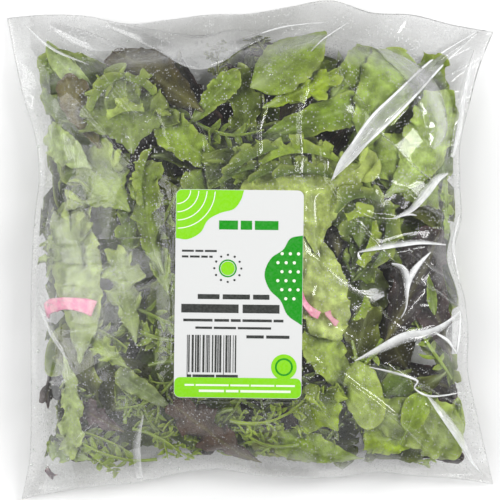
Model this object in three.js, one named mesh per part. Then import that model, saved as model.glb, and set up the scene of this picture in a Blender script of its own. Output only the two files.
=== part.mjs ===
// A clear film bag packed with salad leaves, lying on its back, with a paper label on its front.
// Millimetres. +X is the bag's right as its front is read, +Y runs to its top seam, +Z comes out of its front.
// The origin is the middle of the bag's outline, on the surface that it lies on.
import * as THREE from "three";

// The four corners of the sealed film, read round from the lower left.
const LOW_LEFT = [-114, -124.5];
const LOW_RIGHT = [121.5, -117];
const HIGH_LEFT = [-121.5, 116];
const HIGH_RIGHT = [121.5, 109];

// How far each seam is drawn in from the straight line between its corners, at equal steps.
// The packed leaves pull the side seams in, and the empty top seam waves outwards.
const LEFT_IN = [0, 4.6, 6.2, 6.9, 7.5, 8.1, 9.3, 11.1, 14, 12.8, 7.4, 3.4, 0];
const RIGHT_IN = [0, 4.5, 9, 13, 13, 15, 20.5, 16.5, 17, 16.8, 12.5, 7.5, 0];
const BOTTOM_IN = [0, 3.4, 5.8, 7.1, 11, 12.4, 8.8, 7.1, 6.5, 8.4, 5.8, 3.6, 0];
const TOP_IN = [0, -2.1, -1.9, 1.3, -1.3, -4.4, -5.5, -9.6, -13.2, -7.8, -7.3, -2.9, 0];

const CROWN = 54; // height of the packed middle
const SEAM_HEIGHT = 15; // height of the side seams half way along
const CORNER_HEIGHT = 2.5; // height of the corners, which droop
const FIN_HEIGHT = 5; // height of the empty fin along the top
const FILM = 1.2; // thickness of the two films where they lie together
const SIDE_FIN = 0.012; // flat seam along the sides and the bottom, as a share of the bag
const TOP_FIN = 0.07; // empty film below the top seam, as a share of the bag
const CORNER_FIN = 0.1; // how much deeper it gets in the two top corners
const SQUARENESS = 3.8; // power of the pillow's profile: higher is flatter on top
const FULLNESS = 0.55; // power of its rise from the seam: lower is steeper
const GROUNDED = 0.5; // share of the full height at which the underside meets the surface

// The label, turned a little on the bag.
const LABEL_WIDTH = 62.5;
const LABEL_LENGTH = 102;
const LABEL_AT = [-5.5, -21.5];
const LABEL_TURN = -0.012;
const LABEL_CORNER = 3;
const LABEL_THICK = 0.5;
const LABEL_GAP = 0.3;
const LABEL_CALM = 10; // width of the smooth margin round it

// Folds of the film: where each starts and ends, its height, its half width, negative for a furrow.
const FOLDS = [
  { from: [112, 106], to: [40, 34], height: 5, half: 9 },
  { from: [100, 40], to: [66, 14], height: 3, half: 8 },
  { from: [50, -3], to: [100, 4], height: 4, half: 8 },
  { from: [92, 0], to: [74, -38], height: 4, half: 8 },
  { from: [50, -58], to: [106, -36], height: 4.5, half: 9 },
  { from: [78, -66], to: [114, -110], height: 4, half: 8 },
  { from: [58, -22], to: [98, -20], height: -3, half: 10 },
  { from: [-60, -110], to: [-20, -66], height: 3, half: 8 },
  { from: [-104, -10], to: [-60, -60], height: 2.5, half: 9 },
  { from: [-100, 70], to: [-60, 96], height: 3, half: 10 },
];
const LUMP = 2.2; // height of the lumps that the leaves press into the film
const LUMP_WAVES = [
  [0.071, 0.038, 0.4],
  [-0.046, 0.083, 1.7],
  [0.102, -0.061, 3.1],
  [0.029, 0.112, 4.6],
]; // each wave's turn per mm along X and Y, and its start
const PUCKER = 1.6; // height of the gathers along the seams
const PUCKERS = 13; // how many gathers each seam has

const CELLS = 44; // cells along each side of the film
const LABEL_STEP = 6; // longest step along the label's edge
const LABEL_RINGS = 6;

const clamp01 = (x) => THREE.MathUtils.clamp(x, 0, 1);

// One seam as a smooth curve, drawn in from the line between two corners along a direction.
function seam(start, end, drawnIn, inward) {
  const points = drawnIn.map((inset, i) => {
    const t = i / (drawnIn.length - 1);
    return new THREE.Vector3(
      THREE.MathUtils.lerp(start[0], end[0], t) + inset * inward[0],
      THREE.MathUtils.lerp(start[1], end[1], t) + inset * inward[1],
      0,
    );
  });
  return new THREE.CatmullRomCurve3(points, false, "catmullrom", 0.5);
}

const leftSeam = seam(LOW_LEFT, HIGH_LEFT, LEFT_IN, [1, 0]);
const rightSeam = seam(LOW_RIGHT, HIGH_RIGHT, RIGHT_IN, [-1, 0]);
const bottomSeam = seam(LOW_LEFT, LOW_RIGHT, BOTTOM_IN, [0, 1]);
const topSeam = seam(HIGH_LEFT, HIGH_RIGHT, TOP_IN, [0, -1]);

// The point of the film at the shares u across and v up, between its four seams.
function spread(u, v) {
  const low = bottomSeam.getPoint(u);
  const high = topSeam.getPoint(u);
  const left = leftSeam.getPoint(v);
  const right = rightSeam.getPoint(v);
  const blend = (axis, k) =>
    (1 - v) * low[axis] + v * high[axis] + (1 - u) * left[axis] + u * right[axis] -
    (1 - u) * (1 - v) * LOW_LEFT[k] - u * (1 - v) * LOW_RIGHT[k] -
    (1 - u) * v * HIGH_LEFT[k] - u * v * HIGH_RIGHT[k];
  return [blend("x", 0), blend("y", 1)];
}

// The shares u and v of a point of the film, found by closing in on it.
function sharesAt(x, y) {
  const width = HIGH_RIGHT[0] - HIGH_LEFT[0];
  const length = HIGH_LEFT[1] - LOW_LEFT[1];
  let u = 0.5;
  let v = 0.5;
  for (let round = 0; round < 12; round++) {
    const [px, py] = spread(u, v);
    u = clamp01(u + (x - px) / width);
    v = clamp01(v + (y - py) / length);
  }
  return [u, v];
}

// How full the bag is, from 0 in the flat seams to 1 in the packed middle.
function fill(u, v) {
  const aside = Math.abs(2 * u - 1);
  const topShare = 1 - TOP_FIN - CORNER_FIN * aside ** 4;
  const across = clamp01((u - SIDE_FIN) / (1 - 2 * SIDE_FIN));
  const up = clamp01((v - SIDE_FIN) / (topShare - SIDE_FIN));
  const rise = (share) => (1 - Math.abs(2 * share - 1) ** SQUARENESS) ** FULLNESS;
  return rise(across) * rise(up);
}

// The height of the seams and the empty film, before the leaves lift it.
function slackHeight(u, v) {
  const corner = (Math.abs(2 * u - 1) * Math.abs(2 * v - 1)) ** 3;
  const fin = THREE.MathUtils.smoothstep(v, 1 - 2 * TOP_FIN, 1);
  const side = THREE.MathUtils.lerp(SEAM_HEIGHT, FIN_HEIGHT, fin);
  return THREE.MathUtils.lerp(side, CORNER_HEIGHT, corner);
}

// 0 under the label and 1 away from it, so that the label lies on smooth film.
function awayFromLabel(x, y) {
  const cos = Math.cos(LABEL_TURN);
  const sin = Math.sin(LABEL_TURN);
  const dx = x - LABEL_AT[0];
  const dy = y - LABEL_AT[1];
  const outX = Math.abs(dx * cos + dy * sin) - LABEL_WIDTH / 2;
  const outY = Math.abs(dy * cos - dx * sin) - LABEL_LENGTH / 2;
  const out = Math.hypot(Math.max(outX, 0), Math.max(outY, 0));
  return THREE.MathUtils.smoothstep(out, 1, LABEL_CALM);
}

// A fold is a ridge with a tented section, which dies out at both ends.
function foldHeight(fold, x, y) {
  const alongX = fold.to[0] - fold.from[0];
  const alongY = fold.to[1] - fold.from[1];
  const length = Math.hypot(alongX, alongY);
  const t = ((x - fold.from[0]) * alongX + (y - fold.from[1]) * alongY) / length ** 2;
  if (t <= 0 || t >= 1) return 0;
  const aside = ((x - fold.from[0]) * alongY - (y - fold.from[1]) * alongX) / length;
  return fold.height * Math.sin(Math.PI * t) * clamp01(1 - Math.abs(aside) / fold.half);
}

// The lumps, folds and gathers of the front.
function relief(u, v, x, y) {
  let lumps = 0;
  for (const [alongX, alongY, start] of LUMP_WAVES) {
    lumps += Math.sin(alongX * x + alongY * y + start) / LUMP_WAVES.length;
  }
  let folds = 0;
  for (const fold of FOLDS) folds += foldHeight(fold, x, y);
  const fromSide = Math.min(u, 1 - u, v, 1 - v);
  const along = Math.min(u, 1 - u) < Math.min(v, 1 - v) ? v : u;
  const gather = Math.sin(2 * Math.PI * PUCKERS * along) * Math.exp(-((fromSide / 0.06) ** 2));
  return 2 * LUMP * lumps + folds + PUCKER * gather;
}

function frontHeight(u, v, x, y) {
  const full = fill(u, v);
  const slack = slackHeight(u, v);
  const calm = awayFromLabel(x, y);
  return slack + (CROWN - slack) * full + relief(u, v, x, y) * calm * Math.sqrt(full) + FILM;
}

function backHeight(u, v) {
  const lowered = THREE.MathUtils.smoothstep(fill(u, v), 0, GROUNDED);
  return slackHeight(u, v) * (1 - lowered);
}

// A geometry from loose triangles, each three points long.
function geometryOf(triangles) {
  const geometry = new THREE.BufferGeometry();
  geometry.setAttribute("position", new THREE.Float32BufferAttribute(triangles.flat(2), 3));
  geometry.computeVertexNormals();
  return geometry;
}

// Adds a face with four corners as two triangles.
function quad(into, a, b, c, d) {
  into.push([a, b, c], [a, c, d]);
}

function bagGeometry() {
  const front = [];
  const back = [];
  for (let j = 0; j <= CELLS; j++) {
    const frontRow = [];
    const backRow = [];
    for (let i = 0; i <= CELLS; i++) {
      const [u, v] = [i / CELLS, j / CELLS];
      const [x, y] = spread(u, v);
      frontRow.push([x, y, frontHeight(u, v, x, y)]);
      backRow.push([x, y, backHeight(u, v)]);
    }
    front.push(frontRow);
    back.push(backRow);
  }
  const triangles = [];
  for (let j = 0; j < CELLS; j++) {
    for (let i = 0; i < CELLS; i++) {
      quad(triangles, front[j][i], front[j][i + 1], front[j + 1][i + 1], front[j + 1][i]);
      quad(triangles, back[j][i], back[j + 1][i], back[j + 1][i + 1], back[j][i + 1]);
    }
  }
  for (let k = 0; k < CELLS; k++) {
    quad(triangles, back[0][k], back[0][k + 1], front[0][k + 1], front[0][k]);
    quad(triangles, back[CELLS][k + 1], back[CELLS][k], front[CELLS][k], front[CELLS][k + 1]);
    quad(triangles, back[k + 1][0], back[k][0], front[k][0], front[k + 1][0]);
    quad(triangles, back[k][CELLS], back[k + 1][CELLS], front[k + 1][CELLS], front[k][CELLS]);
  }
  return geometryOf(triangles);
}

// The label's outline about its own middle: four straight sides in equal steps and round corners.
function labelOutline() {
  const halfWidth = LABEL_WIDTH / 2 - LABEL_CORNER;
  const halfLength = LABEL_LENGTH / 2 - LABEL_CORNER;
  const centres = [
    [halfWidth, halfLength],
    [-halfWidth, halfLength],
    [-halfWidth, -halfLength],
    [halfWidth, -halfLength],
  ];
  const cornerSteps = 3;
  const outline = [];
  centres.forEach(([cx, cy], corner) => {
    for (let k = 0; k <= cornerSteps; k++) {
      const angle = (Math.PI / 2) * (corner + k / cornerSteps);
      outline.push([cx + LABEL_CORNER * Math.cos(angle), cy + LABEL_CORNER * Math.sin(angle)]);
    }
    const last = outline[outline.length - 1];
    const [nx, ny] = centres[(corner + 1) % 4];
    const angle = (Math.PI / 2) * (corner + 1);
    const next = [nx + LABEL_CORNER * Math.cos(angle), ny + LABEL_CORNER * Math.sin(angle)];
    const steps = Math.ceil(Math.hypot(next[0] - last[0], next[1] - last[1]) / LABEL_STEP);
    for (let k = 1; k < steps; k++) {
      outline.push([
        THREE.MathUtils.lerp(last[0], next[0], k / steps),
        THREE.MathUtils.lerp(last[1], next[1], k / steps),
      ]);
    }
  });
  return outline;
}

// The label is a thin sheet that follows the film, built from rings of its outline.
function labelGeometry() {
  const outline = labelOutline();
  const cos = Math.cos(LABEL_TURN);
  const sin = Math.sin(LABEL_TURN);
  const onBag = ([x, y], share, lift) => {
    const bagX = LABEL_AT[0] + share * (x * cos - y * sin);
    const bagY = LABEL_AT[1] + share * (x * sin + y * cos);
    const [u, v] = sharesAt(bagX, bagY);
    return [bagX, bagY, frontHeight(u, v, bagX, bagY) + lift];
  };
  const lower = LABEL_GAP;
  const upper = LABEL_GAP + LABEL_THICK;
  const ring = (share, lift) => outline.map((point) => onBag(point, share, lift));
  const triangles = [];
  for (let r = 0; r < LABEL_RINGS; r++) {
    const [inner, outer] = [r / LABEL_RINGS, (r + 1) / LABEL_RINGS];
    const rings = [ring(inner, upper), ring(outer, upper), ring(inner, lower), ring(outer, lower)];
    const [topIn, topOut, lowIn, lowOut] = rings;
    outline.forEach((_, k) => {
      const n = (k + 1) % outline.length;
      triangles.push([topOut[k], topOut[n], topIn[k]]);
      triangles.push([lowOut[n], lowOut[k], lowIn[k]]);
      if (r > 0) {
        triangles.push([topIn[k], topOut[n], topIn[n]]);
        triangles.push([lowIn[k], lowIn[n], lowOut[n]]);
      }
      if (r === LABEL_RINGS - 1) quad(triangles, lowOut[k], lowOut[n], topOut[n], topOut[k]);
    });
  }
  return geometryOf(triangles);
}

const filledBag = new THREE.Mesh(
  bagGeometry(),
  new THREE.MeshStandardMaterial({ color: 0x7c9a58, roughness: 0.25, metalness: 0 }),
);
filledBag.name = "bag";

const label = new THREE.Mesh(
  labelGeometry(),
  new THREE.MeshStandardMaterial({ color: 0xeeeeee, roughness: 0.45, metalness: 0 }),
);
label.name = "label";

const pack = new THREE.Group();
pack.add(filledBag, label);

// The seams' own waves shift the outline a little, so the whole is set back over the origin.
const outlineBox = new THREE.Box3().setFromObject(filledBag);
const middle = outlineBox.getCenter(new THREE.Vector3());
pack.position.set(-middle.x, -middle.y, 0);

export default pack;
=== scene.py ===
"""A clear film bag of mixed salad leaves with a paper label, lying on its back and seen from above."""

import math

import bmesh
import bpy
import numpy as np
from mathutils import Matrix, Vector


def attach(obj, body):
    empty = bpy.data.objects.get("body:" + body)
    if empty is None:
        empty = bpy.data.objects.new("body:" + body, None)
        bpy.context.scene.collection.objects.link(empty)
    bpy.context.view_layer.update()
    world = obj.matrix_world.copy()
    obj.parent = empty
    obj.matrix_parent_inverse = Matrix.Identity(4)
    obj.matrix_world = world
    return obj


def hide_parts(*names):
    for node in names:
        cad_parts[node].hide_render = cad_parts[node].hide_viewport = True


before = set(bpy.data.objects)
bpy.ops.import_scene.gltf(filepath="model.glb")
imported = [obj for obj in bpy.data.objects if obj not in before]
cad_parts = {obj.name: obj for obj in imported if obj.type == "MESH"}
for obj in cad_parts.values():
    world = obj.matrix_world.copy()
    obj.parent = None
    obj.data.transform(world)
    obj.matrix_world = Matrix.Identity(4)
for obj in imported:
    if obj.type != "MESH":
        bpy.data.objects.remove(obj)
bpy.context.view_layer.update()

MM = 0.001

# The bag's form, in millimetres, as its solid has it.
LOW_LEFT = (-114, -124.5)
LOW_RIGHT = (121.5, -117)
HIGH_LEFT = (-121.5, 116)
HIGH_RIGHT = (121.5, 109)
LEFT_IN = (0, 4.6, 6.2, 6.9, 7.5, 8.1, 9.3, 11.1, 14, 12.8, 7.4, 3.4, 0)
RIGHT_IN = (0, 4.5, 9, 13, 13, 15, 20.5, 16.5, 17, 16.8, 12.5, 7.5, 0)
BOTTOM_IN = (0, 3.4, 5.8, 7.1, 11, 12.4, 8.8, 7.1, 6.5, 8.4, 5.8, 3.6, 0)
TOP_IN = (0, -2.1, -1.9, 1.3, -1.3, -4.4, -5.5, -9.6, -13.2, -7.8, -7.3, -2.9, 0)
CROWN = 54
SEAM_HEIGHT = 15
CORNER_HEIGHT = 2.5
FIN_HEIGHT = 5
FILM = 1.2
SIDE_FIN = 0.012
TOP_FIN = 0.07
CORNER_FIN = 0.1
SQUARENESS = 3.8
FULLNESS = 0.55
GROUNDED = 0.5
LABEL_WIDTH = 62.5
LABEL_LENGTH = 102
LABEL_AT = (-5.5, -21.5)
LABEL_TURN = -0.012
LABEL_CORNER = 3
LABEL_CALM = 10
FOLDS = (
    ((112, 106), (40, 34), 5, 9),
    ((100, 40), (66, 14), 3, 8),
    ((50, -3), (100, 4), 4, 8),
    ((92, 0), (74, -38), 4, 8),
    ((50, -58), (106, -36), 4.5, 9),
    ((78, -66), (114, -110), 4, 8),
    ((58, -22), (98, -20), -3, 10),
    ((-60, -110), (-20, -66), 3, 8),
    ((-104, -10), (-60, -60), 2.5, 9),
    ((-100, 70), (-60, 96), 3, 10),
)
LUMP = 2.2
LUMP_WAVES = (
    (0.071, 0.038, 0.4),
    (-0.046, 0.083, 1.7),
    (0.102, -0.061, 3.1),
    (0.029, 0.112, 4.6),
)
PUCKER = 1.6
PUCKERS = 13
PUCKER_REACH = 0.06
OUTLINE_POINTS = 45
SHARE_ROUNDS = 12
SEED = 11

rng = np.random.default_rng(SEED)


def smoothstep(x, low, high):
    t = np.clip((x - low) / (high - low), 0, 1)
    return t * t * (3 - 2 * t)


def curve_point(points, t):
    """A Catmull-Rom curve through points, at the shares t of its steps."""
    points = np.array(points, float)
    whole = np.vstack([2 * points[0] - points[1], points, 2 * points[-1] - points[-2]])
    place = np.clip(np.asarray(t, float), 0, 1) * (len(points) - 1)
    first = np.minimum(place.astype(int), len(points) - 2)
    w = (place - first)[..., None]
    a, b, c, d = (whole[first + k] for k in range(4))
    bent = (2 * a - 5 * b + 4 * c - d) * w**2 + (3 * b - a - 3 * c + d) * w**3
    return 0.5 * (2 * b + (c - a) * w + bent)


def seam_points(start, end, depths, inward):
    """Points of a seam on the line from start to end, each drawn in by its own depth."""
    t = np.linspace(0, 1, len(depths))[:, None]
    line = np.array(start) * (1 - t) + np.array(end) * t
    return line + np.array(depths)[:, None] * np.array(inward)


LEFT = seam_points(LOW_LEFT, HIGH_LEFT, LEFT_IN, (1, 0))
RIGHT = seam_points(LOW_RIGHT, HIGH_RIGHT, RIGHT_IN, (-1, 0))
BOTTOM = seam_points(LOW_LEFT, LOW_RIGHT, BOTTOM_IN, (0, 1))
TOP = seam_points(HIGH_LEFT, HIGH_RIGHT, TOP_IN, (0, -1))


def spread(u, v):
    """Points of the film at the shares u across and v up, between its four seams."""
    low, high = curve_point(BOTTOM, u), curve_point(TOP, u)
    left, right = curve_point(LEFT, v), curve_point(RIGHT, v)
    u, v = np.asarray(u, float)[..., None], np.asarray(v, float)[..., None]
    corners = (
        (1 - u) * (1 - v) * np.array(LOW_LEFT)
        + u * (1 - v) * np.array(LOW_RIGHT)
        + (1 - u) * v * np.array(HIGH_LEFT)
        + u * v * np.array(HIGH_RIGHT)
    )
    return (1 - v) * low + v * high + (1 - u) * left + u * right - corners


def shares_at(xy, past=0):
    """The shares u and v of points of the film, which may lie a little past its seams."""
    size = np.array([HIGH_RIGHT[0] - HIGH_LEFT[0], HIGH_LEFT[1] - LOW_LEFT[1]])
    uv = np.full(xy.shape, 0.5)
    for _ in range(SHARE_ROUNDS):
        uv = np.clip(uv + (xy - spread(uv[..., 0], uv[..., 1])) / size, -past, 1 + past)
    return uv[..., 0], uv[..., 1]


def fill(u, v):
    """How full the bag is, from 0 in the flat seams to 1 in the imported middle."""
    top_share = 1 - TOP_FIN - CORNER_FIN * np.abs(2 * u - 1) ** 4
    across = np.clip((u - SIDE_FIN) / (1 - 2 * SIDE_FIN), 0, 1)
    up = np.clip((v - SIDE_FIN) / (top_share - SIDE_FIN), 0, 1)

    def rise(share):
        return (1 - np.abs(2 * share - 1) ** SQUARENESS) ** FULLNESS

    return rise(across) * rise(up)


def slack_height(u, v):
    corner = (np.abs(2 * u - 1) * np.abs(2 * v - 1)) ** 3
    fin = smoothstep(v, 1 - 2 * TOP_FIN, 1)
    side = SEAM_HEIGHT + (FIN_HEIGHT - SEAM_HEIGHT) * fin
    return side + (CORNER_HEIGHT - side) * corner


def away_from_label(x, y, calm=LABEL_CALM):
    """0 under the label and 1 away from it."""
    c, s = math.cos(LABEL_TURN), math.sin(LABEL_TURN)
    dx, dy = x - LABEL_AT[0], y - LABEL_AT[1]
    out_x = np.abs(dx * c + dy * s) - LABEL_WIDTH / 2
    out_y = np.abs(dy * c - dx * s) - LABEL_LENGTH / 2
    return smoothstep(np.hypot(np.maximum(out_x, 0), np.maximum(out_y, 0)), 1, calm)


def fold_height(fold, x, y):
    start, end, height, half = fold
    along = np.array(end, float) - np.array(start, float)
    length = np.hypot(*along)
    t = ((x - start[0]) * along[0] + (y - start[1]) * along[1]) / length**2
    aside = ((x - start[0]) * along[1] - (y - start[1]) * along[0]) / length
    tent = np.clip(1 - np.abs(aside) / half, 0, 1)
    return height * np.sin(math.pi * np.clip(t, 0, 1)) * tent


def relief(u, v, x, y):
    lumps = sum(np.sin(a * x + b * y + phase) for a, b, phase in LUMP_WAVES) / len(LUMP_WAVES)
    folds = sum(fold_height(fold, x, y) for fold in FOLDS)
    aside, up = np.minimum(u, 1 - u), np.minimum(v, 1 - v)
    along = np.where(aside < up, v, u)
    gather = np.sin(2 * math.pi * PUCKERS * along) * np.exp(-((np.minimum(aside, up) / PUCKER_REACH) ** 2))
    return 2 * LUMP * lumps + folds + PUCKER * gather


def front_height(u, v, xy):
    full, slack = fill(u, v), slack_height(u, v)
    x, y = xy[..., 0], xy[..., 1]
    lifted = relief(u, v, x, y) * away_from_label(x, y) * np.sqrt(full)
    return slack + (CROWN - slack) * full + lifted + FILM


def back_height(u, v):
    return slack_height(u, v) * (1 - smoothstep(fill(u, v), 0, GROUNDED))


def outline_middle():
    """The middle of the outline's box. The solid was set over the origin by it."""
    share = np.linspace(0, 1, OUTLINE_POINTS)
    low, high = share * 0, share * 0 + 1
    sides = ((share, low), (share, high), (low, share), (high, share))
    ring = np.vstack([spread(u, v) for u, v in sides])
    return (ring.min(0) + ring.max(0)) / 2


SHIFT = -outline_middle()


def to_frame(xy, z):
    """Points of the form's own millimetres as metres in the frame."""
    return np.concatenate([(xy + SHIFT) * MM, np.asarray(z)[..., None] * MM], axis=-1)


def mesh_object(name, points, faces, material, uv=None, tint_and_shade=None):
    """A smooth mesh of three or four sided faces. Its points are in metres in the frame."""
    mesh = bpy.data.meshes.new(name)
    sides = faces.shape[1]
    mesh.vertices.add(len(points))
    mesh.vertices.foreach_set("co", np.asarray(points, np.float32).ravel())
    mesh.loops.add(faces.size)
    mesh.loops.foreach_set("vertex_index", faces.astype(np.int32).ravel())
    mesh.polygons.add(len(faces))
    mesh.polygons.foreach_set("loop_start", np.arange(0, faces.size, sides, dtype=np.int32))
    mesh.polygons.foreach_set("use_smooth", np.ones(len(faces), bool))
    mesh.update(calc_edges=True)
    if uv is not None:
        layer = mesh.uv_layers.new(name="leaf")
        layer.data.foreach_set("uv", uv[faces.ravel()].astype(np.float32).ravel())
    # The colour attribute carries each leaf's colour with its painted shade.
    if tint_and_shade is not None:
        colours = mesh.attributes.new("tint_and_shade", "FLOAT_COLOR", "POINT")
        colours.data.foreach_set("color", tint_and_shade.astype(np.float32).ravel())
    made = bpy.data.objects.new(name, mesh)
    bpy.context.scene.collection.objects.link(made)
    mesh.materials.append(material)
    return made


def set_values(piece, name, values):
    """Gives each point of a piece a number that its finish reads."""
    layer = piece.data.attributes.new(name, "FLOAT", "POINT")
    layer.data.foreach_set("value", values.astype(np.float32))


def joined(solids, faces):
    """Many small solids as one: their points in the frame, and their faces numbered to match."""
    starts = np.cumsum([0] + [len(solid) for solid in solids[:-1]])
    points = np.vstack(solids)
    return to_frame(points[:, :2], points[:, 2]), np.vstack([own + n for own, n in zip(faces, starts)])


def grid_faces(rows, columns, offset=0):
    j, i = np.meshgrid(np.arange(rows - 1), np.arange(columns - 1), indexing="ij")
    a = (j * columns + i).ravel() + offset
    return np.stack([a, a + 1, a + 1 + columns, a + columns], 1)


def linear(red, green, blue):
    """A colour in the eye's steps of 0 to 255 as the light that it stands for."""
    share = np.array([red, green, blue]) / 255
    return np.where(share <= 0.04045, share / 12.92, ((share + 0.055) / 1.055) ** 2.4)


# The film is relaxed as a net of threads, and its slack gathers in folds.

FILM_CELLS = 48
FILM_ROUNDS = (150, 90, 60)
FILM_CUT = (252, 259)
FILM_CUT_MORE = 11
FILM_STRETCH = 0.9
FILM_SHEAR = 0.63
FILM_BEND = 0.05
THREADS = (
    (0, 1, FILM_STRETCH),
    (1, 0, FILM_STRETCH),
    (1, 1, FILM_SHEAR),
    (1, -1, FILM_SHEAR),
    (0, 2, FILM_BEND),
    (2, 0, FILM_BEND),
)
FILM_SETTLE = 0.02
FILM_REACH = 5
FILM_GIVE = 3.5
FILM_OVER_BUMPS = 1
FILM_STILL = 0.02
FILM_DAMPING = 0.85
FILM_STIR = (1.6, 0.15, 0.1)
FILM_CALM = 0.92
FILM_CALM_FADE = (8, 42)
FILM_EASED = 80
FILM_SWELL = 0.35
FILM_SWELLS = ((0.11, 0.09, 0.6), (0.16, -0.08, 2.0), (0.05, 0.17, 4.1))
BUMPS = 70
BUMP_SEED = 5
BUMP_PLACES = 115
BUMP_HEIGHT = 4.0
BUMP_SPREAD = (9, 20)
LABEL_STIFF = 25


def batches(rows, columns, down, across):
    """Slices of the net's two ends of each thread, in groups that share no point."""
    step = 2 * max(down, abs(across))
    for k in range(step):
        if down:
            row_a, row_b = slice(k, rows - down, step), slice(k + down, rows, step)
            column_a = slice(max(0, -across), columns - max(0, across))
            column_b = slice(max(0, across), columns - max(0, -across))
        else:
            row_a = row_b = slice(0, rows)
            column_a = slice(k, columns - across, step)
            column_b = slice(k + across, columns, step)
        yield (row_a, column_a), (row_b, column_b)


def thread_lengths(points, down, across):
    rows, columns = points.shape[:2]
    lengths = np.zeros((rows, columns))
    for a, b in batches(rows, columns, down, across):
        lengths[a] = np.sqrt(((points[b] - points[a]) ** 2).sum(-1))
    return lengths


def pull(points, free, a, b, rest, stiffness):
    """Moves both ends of some threads towards their rest lengths."""
    gap = points[b] - points[a]
    length = np.sqrt((gap**2).sum(-1))
    share = stiffness * (length - rest[a]) / np.maximum(length * (free[a] + free[b]), 1e-9)
    points[a] += gap * (share * free[a])[..., None]
    points[b] -= gap * (share * free[b])[..., None]


def thread_groups(cut, start):
    """The net's threads, in groups that share no point, with their rest lengths and stiffness."""
    near = 1 - away_from_label(start[..., 0], start[..., 1], LABEL_STIFF)
    for down, across, stiffness in THREADS:
        loose, tight = thread_lengths(cut, down, across), thread_lengths(start, down, across)
        rest = loose + (tight - loose) * near
        for a, b in batches(*near.shape, down, across):
            yield a, b, rest, stiffness


def relaxed(points, cut, free, floor, start, rounds):
    """The net after its threads have pulled, with nothing under the floor or far from its start."""
    groups = list(thread_groups(cut, start))
    last = points.copy()
    for _ in range(rounds):
        moved = points + (points - last) * FILM_DAMPING * free[..., None]
        last = points.copy()
        points = moved
        points[..., 2] -= FILM_SETTLE * free
        for a, b, rest, stiffness in groups:
            pull(points, free, a, b, rest, stiffness)
        points[..., 2] = np.maximum(points[..., 2], floor)
        off = points - start
        far = np.sqrt((off**2).sum(-1))
        points = start + off * np.minimum(1, FILM_REACH / np.maximum(far, 1e-9))[..., None]
    return points


def halved(grid):
    """The same grid with a point added between each two."""
    rows, columns = grid.shape[:2]
    fine = np.zeros((2 * rows - 1, 2 * columns - 1) + grid.shape[2:])
    fine[::2, ::2] = grid
    fine[1::2, ::2] = (grid[:-1] + grid[1:]) / 2
    fine[:, 1::2] = (fine[:, :-1:2] + fine[:, 2::2]) / 2
    return fine


def heap_bumps(x, y):
    """How far the heap of leaves pushes up here and there under the film."""
    places = np.random.default_rng(BUMP_SEED)
    height = x * 0
    for _ in range(BUMPS):
        middle = places.uniform(-BUMP_PLACES, BUMP_PLACES, 2)
        reach = places.uniform(*BUMP_SPREAD)
        away = (x - middle[0]) ** 2 + (y - middle[1]) ** 2
        height = np.maximum(height, np.exp(-(away / reach**2)))
    return BUMP_HEIGHT * (height - 1)


def film_start(cells):
    share = np.linspace(0, 1, cells + 1)
    u, v = np.meshgrid(share, share)
    xy = spread(u, v)
    front, back = front_height(u, v, xy), back_height(u, v)
    seam = (np.minimum(u, 1 - u) < 1e-9) | (np.minimum(v, 1 - v) < 1e-9)
    height = np.where(seam, (front + back) / 2, front)
    free = np.where(seam, 0, away_from_label(xy[..., 0], xy[..., 1]))
    free[free < FILM_STILL] = 0
    full = slack_height(u, v) + (CROWN - slack_height(u, v)) * fill(u, v) + FILM
    bumps = heap_bumps(xy[..., 0], xy[..., 1]) * np.sqrt(fill(u, v))
    floor = np.maximum(np.minimum(full, height) - FILM_GIVE + FILM_OVER_BUMPS + bumps, back + FILM / 4)
    start = np.concatenate([xy, height[..., None]], -1)
    cut = np.stack([u * FILM_CUT[0], v * (FILM_CUT[1] + FILM_CUT_MORE * u)], -1)
    return u, v, start, cut, free, floor


def front_film():
    """The points of the front sheet, with the folds that its slack makes."""
    cells = FILM_CELLS
    u, v, start, cut, free, floor = film_start(cells)
    off = start * 0
    for level, rounds in enumerate(FILM_ROUNDS):
        if level:
            cells *= 2
            u, v, start, cut, free, floor = film_start(cells)
            off = halved(off) * (free > 0)[..., None]
        stir = rng.normal(0, FILM_STIR[level], start.shape) * free[..., None]
        off = relaxed(start + off + stir, cut, free, floor, start, rounds) - start
    film = start + off
    calm = FILM_CALM * (1 - smoothstep(film[..., 0], *FILM_CALM_FADE)) * (free > 0)
    film[..., 2] += calm * (smoothed(film[..., 2], FILM_EASED) - film[..., 2])
    swell = sum(np.sin(a * film[..., 0] + b * film[..., 1] + phase) for a, b, phase in FILM_SWELLS)
    film[..., 2] += FILM_SWELL * (calm / FILM_CALM) * free * fill(u, v) * (swell - len(FILM_SWELLS))
    return u, v, film


def back_film(u, v):
    xy = spread(u, v)
    return np.concatenate([xy, back_height(u, v)[..., None]], -1)


# Heights are kept over a square of cells, so that each leaf lies under what is above it.

MAP_CELL = 1.0
MAP_HALF = 135
NOTHING = 1e3
HOLE_ROUNDS = 3


def new_map(value=NOTHING):
    count = int(2 * MAP_HALF / MAP_CELL) + 1
    return np.full((count, count), float(value))


def lowest_around(heights):
    wide = np.pad(heights, 1, mode="edge")
    rows, columns = heights.shape
    near = [wide[j : j + rows, i : i + columns] for j in range(3) for i in range(3)]
    return np.minimum.reduce(near)


def lower_map(heights, xy, z, rounds=1):
    """Lowers the map to the points given, with the holes between them closed."""
    cell = np.clip(np.rint((xy + MAP_HALF) / MAP_CELL).astype(int), 0, len(heights) - 1)
    column, row = cell[..., 0].ravel(), cell[..., 1].ravel()
    left, low = column.min(), row.min()
    stamp = np.full((row.max() - low + 1, column.max() - left + 1), NOTHING)
    np.minimum.at(stamp, (row - low, column - left), z.ravel())
    for _ in range(rounds):
        stamp = np.where(stamp < NOTHING, stamp, lowest_around(stamp))
    part = heights[low : low + stamp.shape[0], left : left + stamp.shape[1]]
    np.minimum(part, stamp, out=part)


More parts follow.
